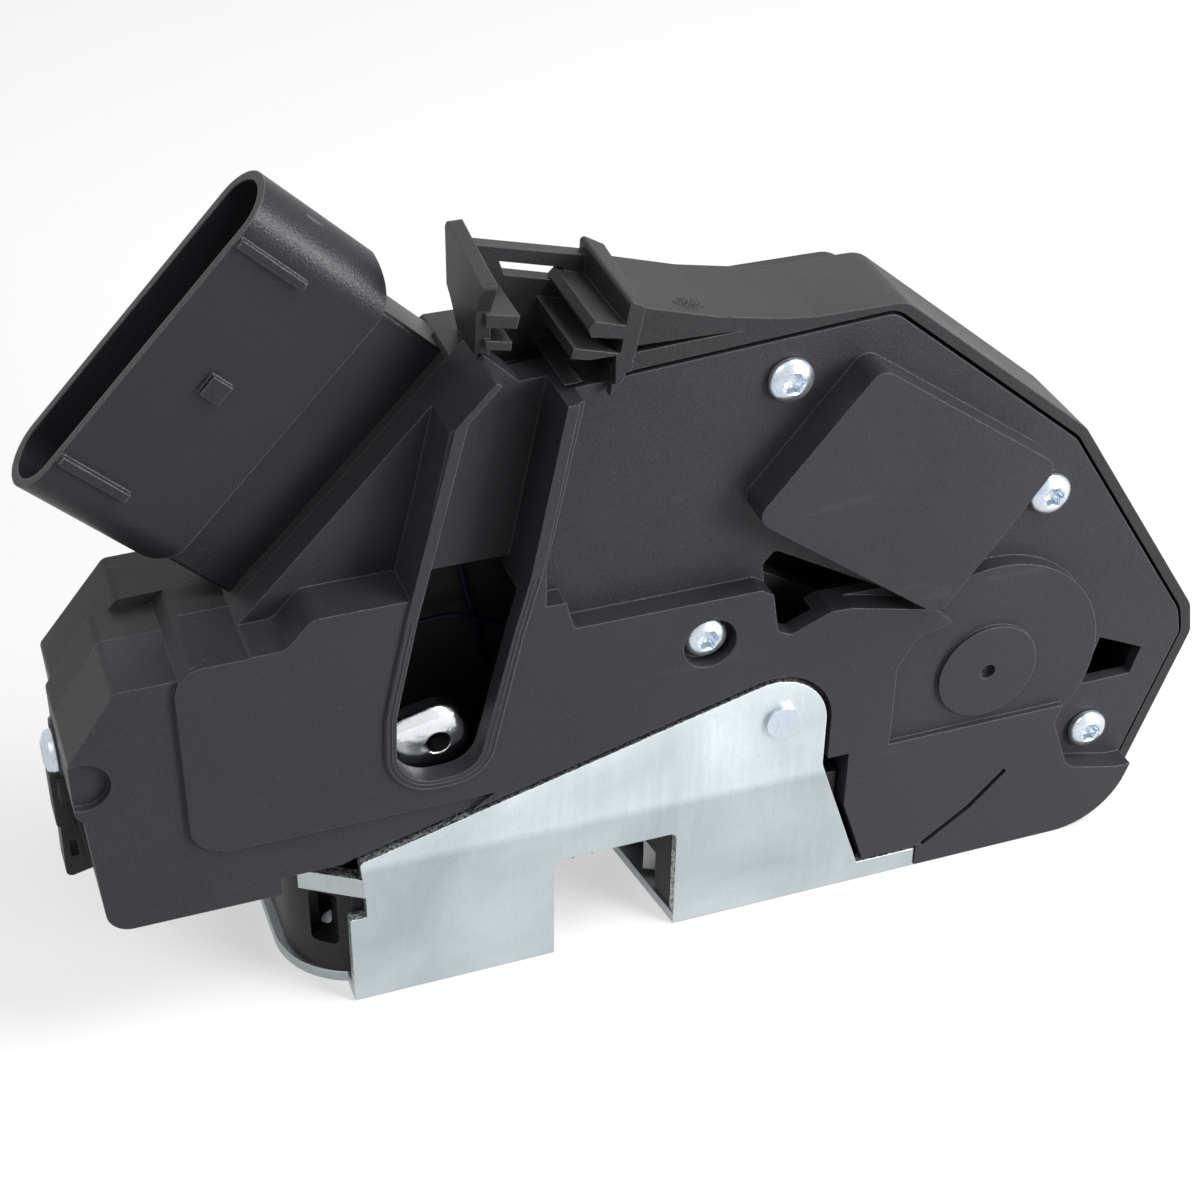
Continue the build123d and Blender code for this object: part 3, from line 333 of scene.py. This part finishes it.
zinc = {                     # scales are in patterns per metre, ranges in noise values
    "cloudScale": 45,
    "cloudWander": 0.6,
    "cloudRange": (0.3, 0.7),
    "lineScale": 240,
    "lineRange": (0.3, 0.7),
    "lineRise": 0.00004,     # m
    "pitScale": 1400,
    "pitRange": (0.58, 0.74),
    "pitTone": 0.55,         # against the darker colour
    "pitRise": 0.00003,      # m
    "edge": 0.0003,          # m
    "edgeRange": (0.97, 0.82),
    "edgeHighlightTone": 1.25,        # painted edge highlight, against the film's colour
    "shine": (-0.07, 0.1),   # change of roughness over the rolling lines
}


def zincSheet(name, colour, darker, roughness, rolled=(1, 1, 1), metal=0.82, pitted=0.35):
    # zinc plated sheet: cloudy pale film, faint rolling lines, small pits and painted highlights
    # along the edges
    paint, made, links, shader = newFinish(name, colour, roughness, metal)
    cloud = noiseOn(made, links, zinc["cloudScale"], 5.0, distortion=zinc["cloudWander"])
    lines = noiseOn(made, links, zinc["lineScale"], 3.0, rolled)
    pits = noiseOn(made, links, zinc["pitScale"], 3.0)
    tone = blendColour(made, links, spread(made, links, cloud, *zinc["cloudRange"]), colour,
                       darker)
    tone = blendColour(made, links, spread(made, links, pits, *zinc["pitRange"], 0, pitted),
                       tone, toned(darker, zinc["pitTone"]))
    soft = softEdge(made, zinc["edge"])
    # painted highlight: every edge is lightened towards a paler film colour
    tone = blendColour(made, links, edgeShare(made, links, soft, *zinc["edgeRange"]), tone,
                       toned(colour, zinc["edgeHighlightTone"], 1.0))
    links.new(tone, shader.inputs["Base Color"])
    smoother, rougher = zinc["shine"]
    links.new(spread(made, links, lines, *zinc["lineRange"], roughness + smoother,
                     roughness + rougher), shader.inputs["Roughness"])
    links.new(bumped(made, links, soft, [(lines, zinc["lineRise"]), (pits, zinc["pitRise"])]),
              shader.inputs["Normal"])
    return paint


flange = {                   # heights and depths in metres
    "foldSlope": -0.017,     # rise over run of the shallow fold, seen from the front
    "foldLevel": 0.0271,     # above the base at X = 0
    "foldWidth": 0.0018,
    "below": 0.74,           # painted shade: tone of the film under the fold's line against above it
    "cutFacing": (0.75, 0.35),         # how much a face looks to the front or back: flat, cut
    "cutAbove": (0.0024, 0.0030),      # height from which cuts show
    "cutBefore": (-0.0280, -0.0290),   # depth from which cuts show, towards the front
    "tornScale": 1900,       # patterns per metre
    "tornRange": (0.40, 0.60),
    "tornDark": (0.09, 0.10, 0.10),
    "tornPale": (0.62, 0.66, 0.66),
}


def shearedSheet(paint):
    # the same sheet, with painted shade under the line of the flange's fold, and dark and torn
    # on the flange's cut faces, which are those that don't look to the front or back
    made, links = paint.node_tree.nodes, paint.node_tree.links
    shader = made["Principled BSDF"]
    film = shader.inputs["Base Color"].links[0].from_socket
    where = made.new("ShaderNodeTexCoord")
    facing, place = made.new("ShaderNodeSeparateXYZ"), made.new("ShaderNodeSeparateXYZ")
    links.new(where.outputs["Normal"], facing.inputs[0])
    links.new(where.outputs["Object"], place.inputs[0])
    frontal = combined(made, links, "ABSOLUTE", facing.outputs["Y"])
    cut = combined(made, links, "MULTIPLY",
                   spread(made, links, frontal, *flange["cutFacing"]),
                   spread(made, links, place.outputs["Z"], *flange["cutAbove"]))
    cut = combined(made, links, "MULTIPLY", cut,
                   spread(made, links, place.outputs["Y"], *flange["cutBefore"]))
    speck = blendColour(made, links,
                        spread(made, links, noiseOn(made, links, flange["tornScale"], 4.0),
                               *flange["tornRange"]), flange["tornDark"], flange["tornPale"])
    # painted shade: the film is darkened under a sloping line across the flange, in place of the
    # real fold turning away from the light
    height = combined(made, links, "MULTIPLY_ADD", place.outputs["X"], -flange["foldSlope"],
                      place.outputs["Z"])
    level, half = flange["foldLevel"], flange["foldWidth"] / 2
    film = blendColour(made, links, 1.0, film,
                       spread(made, links, height, level - half, level + half,
                              flange["below"], 1), "MULTIPLY")
    links.new(blendColour(made, links, cut, film, speck), shader.inputs["Base Color"])
    return paint


rubber = {
    "roughness": 0.75,
    "bloomScale": 120,       # patterns per metre
    "bloomTone": 1.7,        # against the rubber's colour
    "edge": 0.0004,          # m
    "grainScale": 1500,      # patterns per metre
    "grain": 0.00003,        # m
}


def rubberSkin(name, colour):
    # matt black with a faint bloom and a fine grain
    paint, made, links, shader = newFinish(name, colour, rubber["roughness"])
    bloom = noiseOn(made, links, rubber["bloomScale"], 4.0)
    links.new(blendColour(made, links, bloom, colour, toned(colour, rubber["bloomTone"])),
              shader.inputs["Base Color"])
    grain = noiseOn(made, links, rubber["grainScale"])
    links.new(bumped(made, links, softEdge(made, rubber["edge"]), [(grain, rubber["grain"])]),
              shader.inputs["Normal"])
    return paint


finishes = {                 # after the name: colour, and the paler or darker of its clouds
    "cover_plastic": mouldedPlastic(
        "coverPlastic", (0.0166, 0.0166, 0.0196), (0.021, 0.021, 0.0245), roughness=0.42,
        grain=0.00006, gloss=0.20, scratched=0.07),
    "housing_plastic": mouldedPlastic(
        "housingPlastic", (0.0145, 0.0145, 0.0162), (0.0185, 0.0185, 0.020), roughness=0.44,
        grain=0.00008, gloss=0.18, scratched=0.12),
    "connector_plastic": mouldedPlastic(
        "connectorPlastic", (0.0085, 0.009, 0.0108), (0.012, 0.0125, 0.0148), roughness=0.30,
        grain=0.00007, edge=0.0004, gloss=0.26, scratchAndHighlightTone=0.16, scratched=0.45),
    "switch_plastic": mouldedPlastic(
        "switchPlastic", (0.03, 0.03, 0.033), (0.04, 0.04, 0.042), roughness=0.4,
        grain=0.000012),
    "gear_plastic": mouldedPlastic(
        "gearPlastic", (0.72, 0.70, 0.63), (0.78, 0.76, 0.70), roughness=0.42, grain=0.000012,
        gloss=0.5, scratchAndHighlightTone=0.8, scratched=0.1),
    "plate_steel": shearedSheet(zincSheet(
        "plateSteel", (0.64, 0.70, 0.715), (0.46, 0.52, 0.54), roughness=0.38,
        rolled=(4, 4, 0.3), pitted=0.22)),
    "latch_steel": zincSheet(
        "latchSteel", (0.42, 0.42, 0.42), (0.30, 0.30, 0.31), roughness=0.40),
    "lever_zinc": zincSheet(
        "leverChrome", (0.80, 0.82, 0.85), (0.72, 0.75, 0.78), roughness=0.14, metal=1.0,
        pitted=0.2),
    "screw_zinc": zincSheet(
        "screwZinc", (0.62, 0.68, 0.75), (0.50, 0.56, 0.62), roughness=0.26, metal=0.9),
    "spring_steel": zincSheet(
        "springSteel", (0.36, 0.36, 0.37), (0.25, 0.25, 0.26), roughness=0.30,
        rolled=(1, 1, 4)),
    "motor_steel": zincSheet(
        "motorSteel", (0.55, 0.56, 0.57), (0.46, 0.47, 0.48), roughness=0.30),
    "contact_brass": zincSheet(
        "contactBrass", (0.72, 0.62, 0.40), (0.62, 0.52, 0.32), roughness=0.30),
    "bumper_rubber": rubberSkin("bumperRubber", (0.012, 0.012, 0.012)),
}

for part in frame["record"]["subparts"]:
    mesh = nodes[part["node"]].data
    mesh.materials.clear()
    mesh.materials.append(finishes[part["material_slot"]])
print("finishes on", len(nodes), "nodes")


# new pieces from here on: each is a surface worked out on a grid, in drawing millimetres
frameZero = (3.55, 35.0, 0.0)          # mm, where the frame's zero lies in the drawing


def toFrame(points):
    # drawing millimetres to the frame's metres
    return (np.asarray(points, float) - np.array(frameZero)) * mm


def fullTurn(count):
    # angles round a ring, without its first one twice
    return np.linspace(0, 2 * np.pi, count, endpoint=False)


def closedSkin(rows):
    # rows[i, j] is a grid whose rings close along j; the first and the last shrink to a point
    count, around = rows.shape[:2]
    ring = np.arange(around)
    after = np.roll(ring, -1)
    points = np.vstack([rows[0].mean(0), rows[1:-1].reshape(-1, 3), rows[-1].mean(0)])
    start = 1 + np.arange(count - 3)[:, None] * around
    quads = np.stack([start + ring, start + after, start + around + after,
                      start + around + ring], -1).reshape(-1, 4)
    top = 1 + ring
    low = 1 + (count - 3) * around + ring
    caps = np.vstack([np.stack([0 * ring, np.roll(top, -1), top], -1),
                      np.stack([0 * ring + len(points) - 1, low, np.roll(low, -1)], -1)])
    return points, quads.tolist() + caps.tolist()


def loopSkin(rows):
    # rows[i, j] is a grid that closes both ways, like a ring
    count, around = rows.shape[:2]
    i = np.arange(count)[:, None]
    j = np.arange(around)[None, :]
    nextI, nextJ = (i + 1) % count, (j + 1) % around
    quads = np.stack([i * around + j, i * around + nextJ, nextI * around + nextJ,
                      nextI * around + j], -1).reshape(-1, 4)
    return rows.reshape(-1, 3), quads.tolist()


def outward(points, faces):
    # turns the faces round where the volume that they enclose comes out negative
    corners = np.array([(face[0], face[1], face[2]) for face in faces]
                       + [(face[0], face[2], face[3]) for face in faces if len(face) == 4])
    a, b, c = points[corners[:, 0]], points[corners[:, 1]], points[corners[:, 2]]
    volume = np.einsum("ij,ij->i", a, np.cross(b, c)).sum()
    return [face[::-1] for face in faces] if volume < 0 else faces


def addPiece(name, skins, slotName, stands=(), crease=38, body="housing"):
    # one object on a body from several closed skins, in place of the nodes in stands
    points, faces, start = [], [], 0
    for skinPoints, skinFaces in skins:
        faces += [[corner + start for corner in face] for face in outward(skinPoints, skinFaces)]
        points.append(toFrame(skinPoints))
        start += len(skinPoints)
    mesh = bpy.data.meshes.new(name)
    mesh.from_pydata(np.vstack(points).tolist(), [], faces)
    mesh.shade_smooth()
    mesh.set_sharp_from_angle(angle=np.radians(crease))
    mesh.materials.append(finishes[slotName])
    piece = bpy.data.objects.new(name, mesh)
    bpy.context.scene.collection.objects.link(piece)
    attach(piece, body)
    if stands:
        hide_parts(*stands)
    return piece


def ringsAbout(radius, height, origin, axis, t):
    # rings origin + height axis + radius (cos t side + sin t other), with side and other at
    # right angles to the axis and to each other
    axis = np.array(axis, float) / np.linalg.norm(axis)
    side = np.cross(axis, [0.0, 0.0, 1.0] if abs(axis[2]) < 0.9 else [1.0, 0.0, 0.0])
    side /= np.linalg.norm(side)
    other = np.cross(axis, side)
    return (np.array(origin, float) + height[:, None, None] * axis
            + radius[..., None] * (np.cos(t)[None, :, None] * side
                                   + np.sin(t)[None, :, None] * other))


def turned(profile, origin, axis, around, lobes):
    # closed turned piece of radius r (1 + w cos(lobes t)) at height h, from rows of (r, h, w)
    t = fullTurn(around)
    r, h, w = np.array(profile, float).T
    radius = r[:, None] * (1 + w[:, None] * np.cos(lobes * t))
    return closedSkin(ringsAbout(radius, h, origin, axis, t))


def turnedRing(profile, origin, axis, around=72):
    # turned ring of radius r at height h, from rows of (r, h) that go round its section
    r, h = np.array(profile, float).T
    return loopSkin(ringsAbout(r[:, None], h, origin, axis, fullTurn(around)))


def carried(path, radius, around=12):
    # circle of one radius carried along a path; its frame keeps one guide line to one side
    path = np.asarray(path, float)
    along = np.gradient(path, axis=0)
    along /= np.linalg.norm(along, axis=1)[:, None]
    guide = np.array([0.31, 0.87, 0.38])
    side = guide - (along @ guide)[:, None] * along
    side /= np.linalg.norm(side, axis=1)[:, None]
    other = np.cross(along, side)
    t = fullTurn(around)
    rings = path[:, None, :] + radius * (np.cos(t)[None, :, None] * side[:, None, :]
                                         + np.sin(t)[None, :, None] * other[:, None, :])
    return closedSkin(np.concatenate([rings[:1], rings, rings[-1:]]))


def bent(points, count=48):
    # smooth line through the points: cubic pieces whose slopes are half the step across
    points = np.asarray(points, float)
    slope = np.gradient(points, axis=0)
    at = np.linspace(0, len(points) - 1, count)
    i = np.minimum(at.astype(int), len(points) - 2)
    u = (at - i)[:, None]
    return ((2 * u ** 3 - 3 * u ** 2 + 1) * points[i] + (u ** 3 - 2 * u ** 2 + u) * slope[i]
            + (3 * u ** 2 - 2 * u ** 3) * points[i + 1] + (u ** 3 - u ** 2) * slope[i + 1])


def block(centre, axes, halves, corner, roll=0.25, cornerSteps=7, rollSteps=5):
    # rounded rectangle |u| <= a, |v| <= b with corners of one radius, carried along w from -c
    # to c and drawn in by roll (1 - sin t) at both ends
    u, v, w = (np.array(axis, float) / np.linalg.norm(axis) for axis in axes)
    a, b, c = halves
    quarter = np.repeat(np.arange(4), cornerSteps)
    t = np.pi / 2 * (quarter + np.tile(np.linspace(0, 1, cornerSteps), 4))
    signU = np.array([1, -1, -1, 1])[quarter]
    signV = np.array([1, 1, -1, -1])[quarter]
    turn = np.linspace(0, np.pi / 2, rollSteps)
    drawn, risen = roll * (1 - np.sin(turn)), roll * (1 - np.cos(turn))
    inset = np.concatenate([drawn, drawn[::-1]])
    level = np.concatenate([-c + risen, (c - risen)[::-1]])
    inset = np.concatenate([[inset[0]], inset, [inset[-1]]])[:, None]
    level = np.concatenate([[level[0]], level, [level[-1]]])[:, None]
    across = signU * (a - corner) + corner * np.cos(t) - signU * inset
    upward = signV * (b - corner) + corner * np.sin(t) - signV * inset
    return closedSkin(np.array(centre, float) + across[..., None] * u + upward[..., None] * v
                      + np.broadcast_to(level, across.shape)[..., None] * w)


releaseArm = {               # mm
    "pivot": (-54.0, 39.0),
    "hub": 6.5,              # radius
    "eye": (-24.8, 46.4),
    "end": 6.3,              # radius round the eye
    "bore": 1.95,            # radius
    "front": 4.7,
    "back": 8.35,
    "roll": 2.6,             # how far the edge's roll reaches in
    "drop": 1.9,             # how far it falls back
    "rim": 0.3,              # how far the bore's rim falls back
    "thin": 0.4,             # least thickness
    "rays": 192,
    "rings": 40,
}


def rolledArm():
    # rings about the eye's bore, out to the tangent lines of the two end circles: the front
    # falls by drop (1 - sqrt(1 - (1 - d / roll)^2)) where the edge's distance d is under roll
    part = releaseArm
    pivot, eye = np.array(part["pivot"]), np.array(part["eye"])
    t = fullTurn(part["rays"])
    rays = np.stack([np.cos(t), np.sin(t)], -1)
    reach = np.maximum(rays @ (pivot - eye) + part["hub"], part["end"])
    facing = rays @ rays.T
    outer = np.where(facing > 0.01, reach / np.maximum(facing, 0.01), 1e3).min(1)
    share = np.concatenate([[0.0, 0.012], np.linspace(0.03, 1.0, part["rings"]) ** 0.8])
    r = part["bore"] + share[:, None] * (outer - part["bore"])
    flat = r[..., None] * rays
    gap = np.min(reach - flat @ rays.T, axis=-1)
    inside = np.clip(1 - gap / part["roll"], 0, 1)
    front = part["front"] + part["drop"] * (1 - np.sqrt(np.clip(1 - inside ** 2, 0, 1)))
    front[0] += part["rim"]
    back = np.maximum(np.full_like(front, part["back"]), front + part["thin"])
    place = eye + flat
    rows = np.concatenate([np.stack([place[..., 0], front, place[..., 1]], -1),
                           np.stack([place[..., 0], back, place[..., 1]], -1)[::-1]])
    return loopSkin(rows)


addPiece("releaseArmRolled", [rolledArm()], "lever_zinc", ("release_lever",), 50,
         "release_lever")
print("release lever with its rolled edge")


screws = {                   # mm
    "places": [(30.9, 102.1, 4.0), (78.7, 72.2, 4.0), (93.6, 19.7, 4.0), (18.6, 58.5, 3.0)],
    "side": (-81.6, 17.75, 49.7),
    "head": 3.6,             # radius
    "rise": 2.4,
    "edge": 0.7,             # height of the head's rim
    "bevel": 0.25,           # under the rim
    "full": 1.02,            # how much wider than the head its dome's ellipse is
    "domeEnd": 1.02,         # radians in from the rim
    "shank": 1.6,            # radius
    "length": 13.0,
    "socket": 1.75,          # radius and depth of the star recess
    "lobe": 0.12,            # share by which its points stand out
    "lobes": 6,
    "around": 60,
}


def screwProfile():
    # shank, seat, domed head h = edge + (rise - edge) sqrt(1 - (r / (full head))^2), recess
    head, edge, bevel = screws["head"], screws["edge"], screws["bevel"]
    shank, length, socket = screws["shank"], screws["length"], screws["socket"]
    r = head * np.cos(np.linspace(0.0, screws["domeEnd"], 9))
    dome = edge + (screws["rise"] - edge) * np.sqrt(1 - (r / (head * screws["full"])) ** 2)
    rows = [(0, -length, 0), (shank, -length, 0), (shank, 0, 0), (head - bevel, 0, 0),
            (head, bevel, 0)]
    rows += list(zip(r, dome, 0 * r))
    level, lobe = dome[-1], screws["lobe"]       # the recess, from its rim down to its floor
    rows += [(socket + 0.12, level + 0.04, 0), (socket - 0.08, level - 0.12, lobe),
             (socket - 0.2, level - 0.4, lobe), (socket - 0.3, level - 1.5, lobe),
             (0.5, level - socket, 0), (0, level - socket, 0)]
    return rows


def screw(place, axis):
    # one screw whose head stands on its seat along the axis
    return turned(screwProfile(), place, axis, screws["around"], screws["lobes"])


addPiece("coverScrewHeads", [screw((x, seat, z), (0, -1, 0)) for x, z, seat in screws["places"]],
         "screw_zinc", ("cover_screws",))
addPiece("sideScrewHead", [screw(screws["side"], (-1, 0, 0))], "screw_zinc", ("side_screw",))
print("screws with star recesses")


coils = {                    # mm: foot, axis, radius, wire, number of turns
    "claw_spring": ((26.0, 33.0, 11.3), (0, 0, 1), 6.5, 1.4, 3.25),
    "pawl_spring": ((-15.0, 22.0, 11.1), (0, 0, 1), 4.8, 1.0, 2.75),
    "release_spring": ((-54.0, 9.5, 39.0), (0, 1, 0), 5.6, 0.8, 4.0),
    "outside_spring": ((4.0, 33.5, 70.0), (0, 1, 0), 5.4, 0.8, 2.5),
}
winding = {
    "pitch": 1.2,            # wires that the coil climbs in a turn
    "turnPoints": 36,
    "leg": (2.4, 0.2),       # mm before the coil's start, from the leg's tip on
    "legPoints": 8,
}


def coilPath(origin, axis, radius, wire, turns):
    # straight leg on the helix's first tangent, then the helix radius (cos t side + sin t
    # other) + climb t axis
    axis = np.array(axis, float)
    side = np.array([1.0, 0.0, 0.0])
    other = np.cross(axis, side)
    t = np.linspace(0, 2 * np.pi * turns, int(turns * winding["turnPoints"]))[:, None]
    climb = wire * winding["pitch"] / (2 * np.pi)
    helix = radius * (np.cos(t) * side + np.sin(t) * other) + climb * t * axis
    tangent = (radius * other + climb * axis) / np.hypot(radius, climb)
    leg = helix[0] - np.linspace(*winding["leg"], winding["legPoints"])[:, None] * tangent
    return np.array(origin, float) + np.vstack([leg, helix])


for nodeName, (foot, axis, radius, wire, turns) in coils.items():
    addPiece(nodeName.replace("_s", "S") + "Coil",
             [carried(coilPath(foot, axis, radius, wire, turns), wire / 2)],
             "spring_steel", (nodeName,))
print("coil springs:", len(coils))


plug = {                     # mm on the plug's own axes
    "angle": 46.5,           # degrees of the plug's long side above X
    "middle": 42.3,          # along that side
    "neckAlong": (-25.6, 23.62),       # from the middle
    "neckDepth": (16.4, 26.6),
    "neckReach": (84.0, 101.0),
    "corner": 0.7,           # radius
}


def neckSleeve():
    # rounded box on the plug's own axes: along its long side, to the back and up its socket
    a = np.radians(plug["angle"])
    along, axis = np.array([np.cos(a), 0, np.sin(a)]), np.array([-np.sin(a), 0, np.cos(a)])
    middle = [np.mean(plug[key]) for key in ("neckAlong", "neckDepth", "neckReach")]
    halves = [np.ptp(plug[key]) / 2 for key in ("neckAlong", "neckDepth", "neckReach")]
    centre = (plug["middle"] + middle[0]) * along + [0, middle[1], 0] + middle[2] * axis
    return block(centre, (along, (0, 1, 0), axis), halves, plug["corner"])


collar = {                   # mm
    "seat": (-81.2, 18.4, 49.9),
    "inner": 4.1,            # radius
    "outer": 5.0,
    "reach": 0.7,
    "bevels": (0.2, 0.4),    # inside and outside
}


def screwCollar():
    # ring of rectangular section with both its outer edges cut off
    r, out, h = collar["inner"], collar["outer"], collar["reach"]
    small, large = collar["bevels"]
    return turnedRing([(r, 0), (r, h - small), (r + small, h), (out - large, h),
                       (out, h - large), (out, 0)], collar["seat"], (-1, 0, 0))


hood = {                     # mm
    "axes": ((1, 0, 0), (0, 0, 1), (0, -1, 0)),
    "blocks": [              # centre, half sizes, corner radius
        ((-82.0, 17.2, 42.6), (1.55, 5.4, 2.9), 0.9),
        ((-81.5, 14.2, 44.6), (0.9, 2.2, 0.5), 0.4),
    ],
}

scar = {                     # mm
    "place": (15.6, 7.6, 115.2),
    "normal": (0.28, 0, 0.96),
    "radius": 2.6,
    "narrow": 0.62,          # its breadth against its length
    "height": 0.42,
    "seed": 1.3,             # shifts all waves
    "rough": 0.42,
    "rimWaves": [            # share of the radius, number, shift
        (0.14, 5, 1),
        (0.08, 11, 2),
        (0.05, 23, 1),
    ],
    "root": 0.6,             # how deep it goes under the face
}


def gateScar():
    # low mound h = height (1 - (r / R)^2) roughened by three crossing waves, with a ragged rim
    normal = np.array(scar["normal"], float) / np.linalg.norm(scar["normal"])
    side = np.cross(normal, [0.0, 1.0, 0.0])
    side /= np.linalg.norm(side)
    other = np.cross(normal, side)
    seed = scar["seed"]
    t = fullTurn(72)
    share = np.linspace(0, 1, 22)[:, None]
    rim = sum((size * np.sin(number * t + shift * seed)
               for size, number, shift in scar["rimWaves"]), 1)
    r = scar["radius"] * share * rim
    x, y = r * np.cos(t), scar["narrow"] * r * np.sin(t)
    waves = (np.sin(5.1 * x + 1.7 * seed) * np.sin(4.3 * y + seed)
             + 0.7 * np.sin(9.7 * x - 6.1 * y) + 0.5 * np.sin(15.0 * y + 11.0 * x + seed))
    h = scar["height"] * (1 - share ** 2) * (1 + scar["rough"] * waves) + 0.03
    place = np.array(scar["place"], float)
    top = place + x[..., None] * side + y[..., None] * other + h[..., None] * normal
    foot = (place + x[-1:, :, None] * side + y[-1:, :, None] * other
            - scar["root"] * normal)
    return closedSkin(np.concatenate([top, foot, foot]))


dimple = {                   # mm
    "place": (-44.6, 3.6, 24.4),
    "normal": (-0.53, -0.85, 0),
    "section": [(0.35, -0.4), (0.35, 0.02), (0.55, 0.1), (0.75, 0.02), (0.75, -0.4)],
    "around": 36,
}

leads = {                    # mm
    "radius": 0.5,
    "up": [(-18.4, 14.5, 77.0), (-17.6, 16.6, 73.0), (-16.8, 17.2, 69.2), (-16.1, 17.2, 65.3),
           (-15.2, 17.2, 61.6), (-14.0, 17.6, 55.0), (-12.6, 18.2, 47.0)],
    "across": [(-30.5, 15.2, 62.4), (-27.0, 16.2, 62.2), (-23.4, 16.6, 61.4),
               (-19.8, 16.6, 61.5), (-16.7, 16.4, 61.0), (-12.6, 16.6, 58.8),
               (-8.9, 16.6, 56.8), (-4.0, 16.4, 55.8)],
}
leadSkin = mouldedPlastic(
    "leadSkin", (0.004, 0.005, 0.018), (0.006, 0.008, 0.026), roughness=0.40, grain=0.00001,
    gloss=0.12, scratchAndHighlightTone=0.012, scratched=0.0)

windowBead = {               # mm
    "sides": [(-28.8, 74.2), (-32.6, 57.2), (-33.2, 43.4), (-20.2, 43.4), (-14.0, 68.2),
              (-11.2, 78.0)],
    "rounds": {2: 6.2, 3: 5.4},        # corner number and radius
    "margins": (0.75, 1.5),  # of the two beads from the window's edge
    "front": -0.48,
    "radius": 0.16,
    "arcPoints": 24,
}


def beadPath(margin):
    # the window's outline moved out by margin: straight sides and true arcs at the round
    # corners, each (sin((1 - u) turn) first + sin(u turn) last) / sin(turn) about its centre
    sides = np.array(windowBead["sides"])
    sides[:3, 0] -= margin
    sides[3:, 0] += margin
    sides[2:4, 1] -= margin
    path = [sides[:2]]
    for index, r in windowBead["rounds"].items():
        corner, r = sides[index], r + margin
        back, ahead = (direction / np.linalg.norm(direction) for direction in
                       (sides[index - 1] - corner, sides[index + 1] - corner))
        half = np.arccos(back @ ahead) / 2
        centre = corner + r / np.sin(half) * (back + ahead) / np.linalg.norm(back + ahead)
        first, last = (corner + r / np.tan(half) * way - centre for way in (back, ahead))
        u = np.linspace(0, 1, windowBead["arcPoints"])[:, None]
        turn = np.pi - 2 * half
        path.append(centre + (np.sin((1 - u) * turn) * first + np.sin(u * turn) * last)
                    / np.sin(turn))
    path = np.vstack(path + [sides[4:]])
    return np.stack([path[:, 0], np.full(len(path), windowBead["front"]), path[:, 1]], -1)


addPiece("plugNeckSleeve", [neckSleeve()], "connector_plastic")
addPiece("sideScrewCollar", [screwCollar()], "housing_plastic")
addPiece("clipHood", [block(centre, hood["axes"], halves, corner)
                      for centre, halves, corner in hood["blocks"]], "housing_plastic")
addPiece("gateScar", [gateScar()], "housing_plastic", crease=60)
addPiece("tabDimple", [turnedRing(dimple["section"], dimple["place"], dimple["normal"],
                                  dimple["around"])], "plate_steel")
leadPiece = addPiece("windowLeads", [carried(bent(leads[way]), leads["radius"])
                                     for way in ("up", "across")], "housing_plastic")
leadPiece.data.materials[0] = leadSkin
addPiece("windowBeads", [carried(beadPath(margin), windowBead["radius"], 10)
                         for margin in windowBead["margins"]], "cover_plastic")
print("small pieces on the housing")
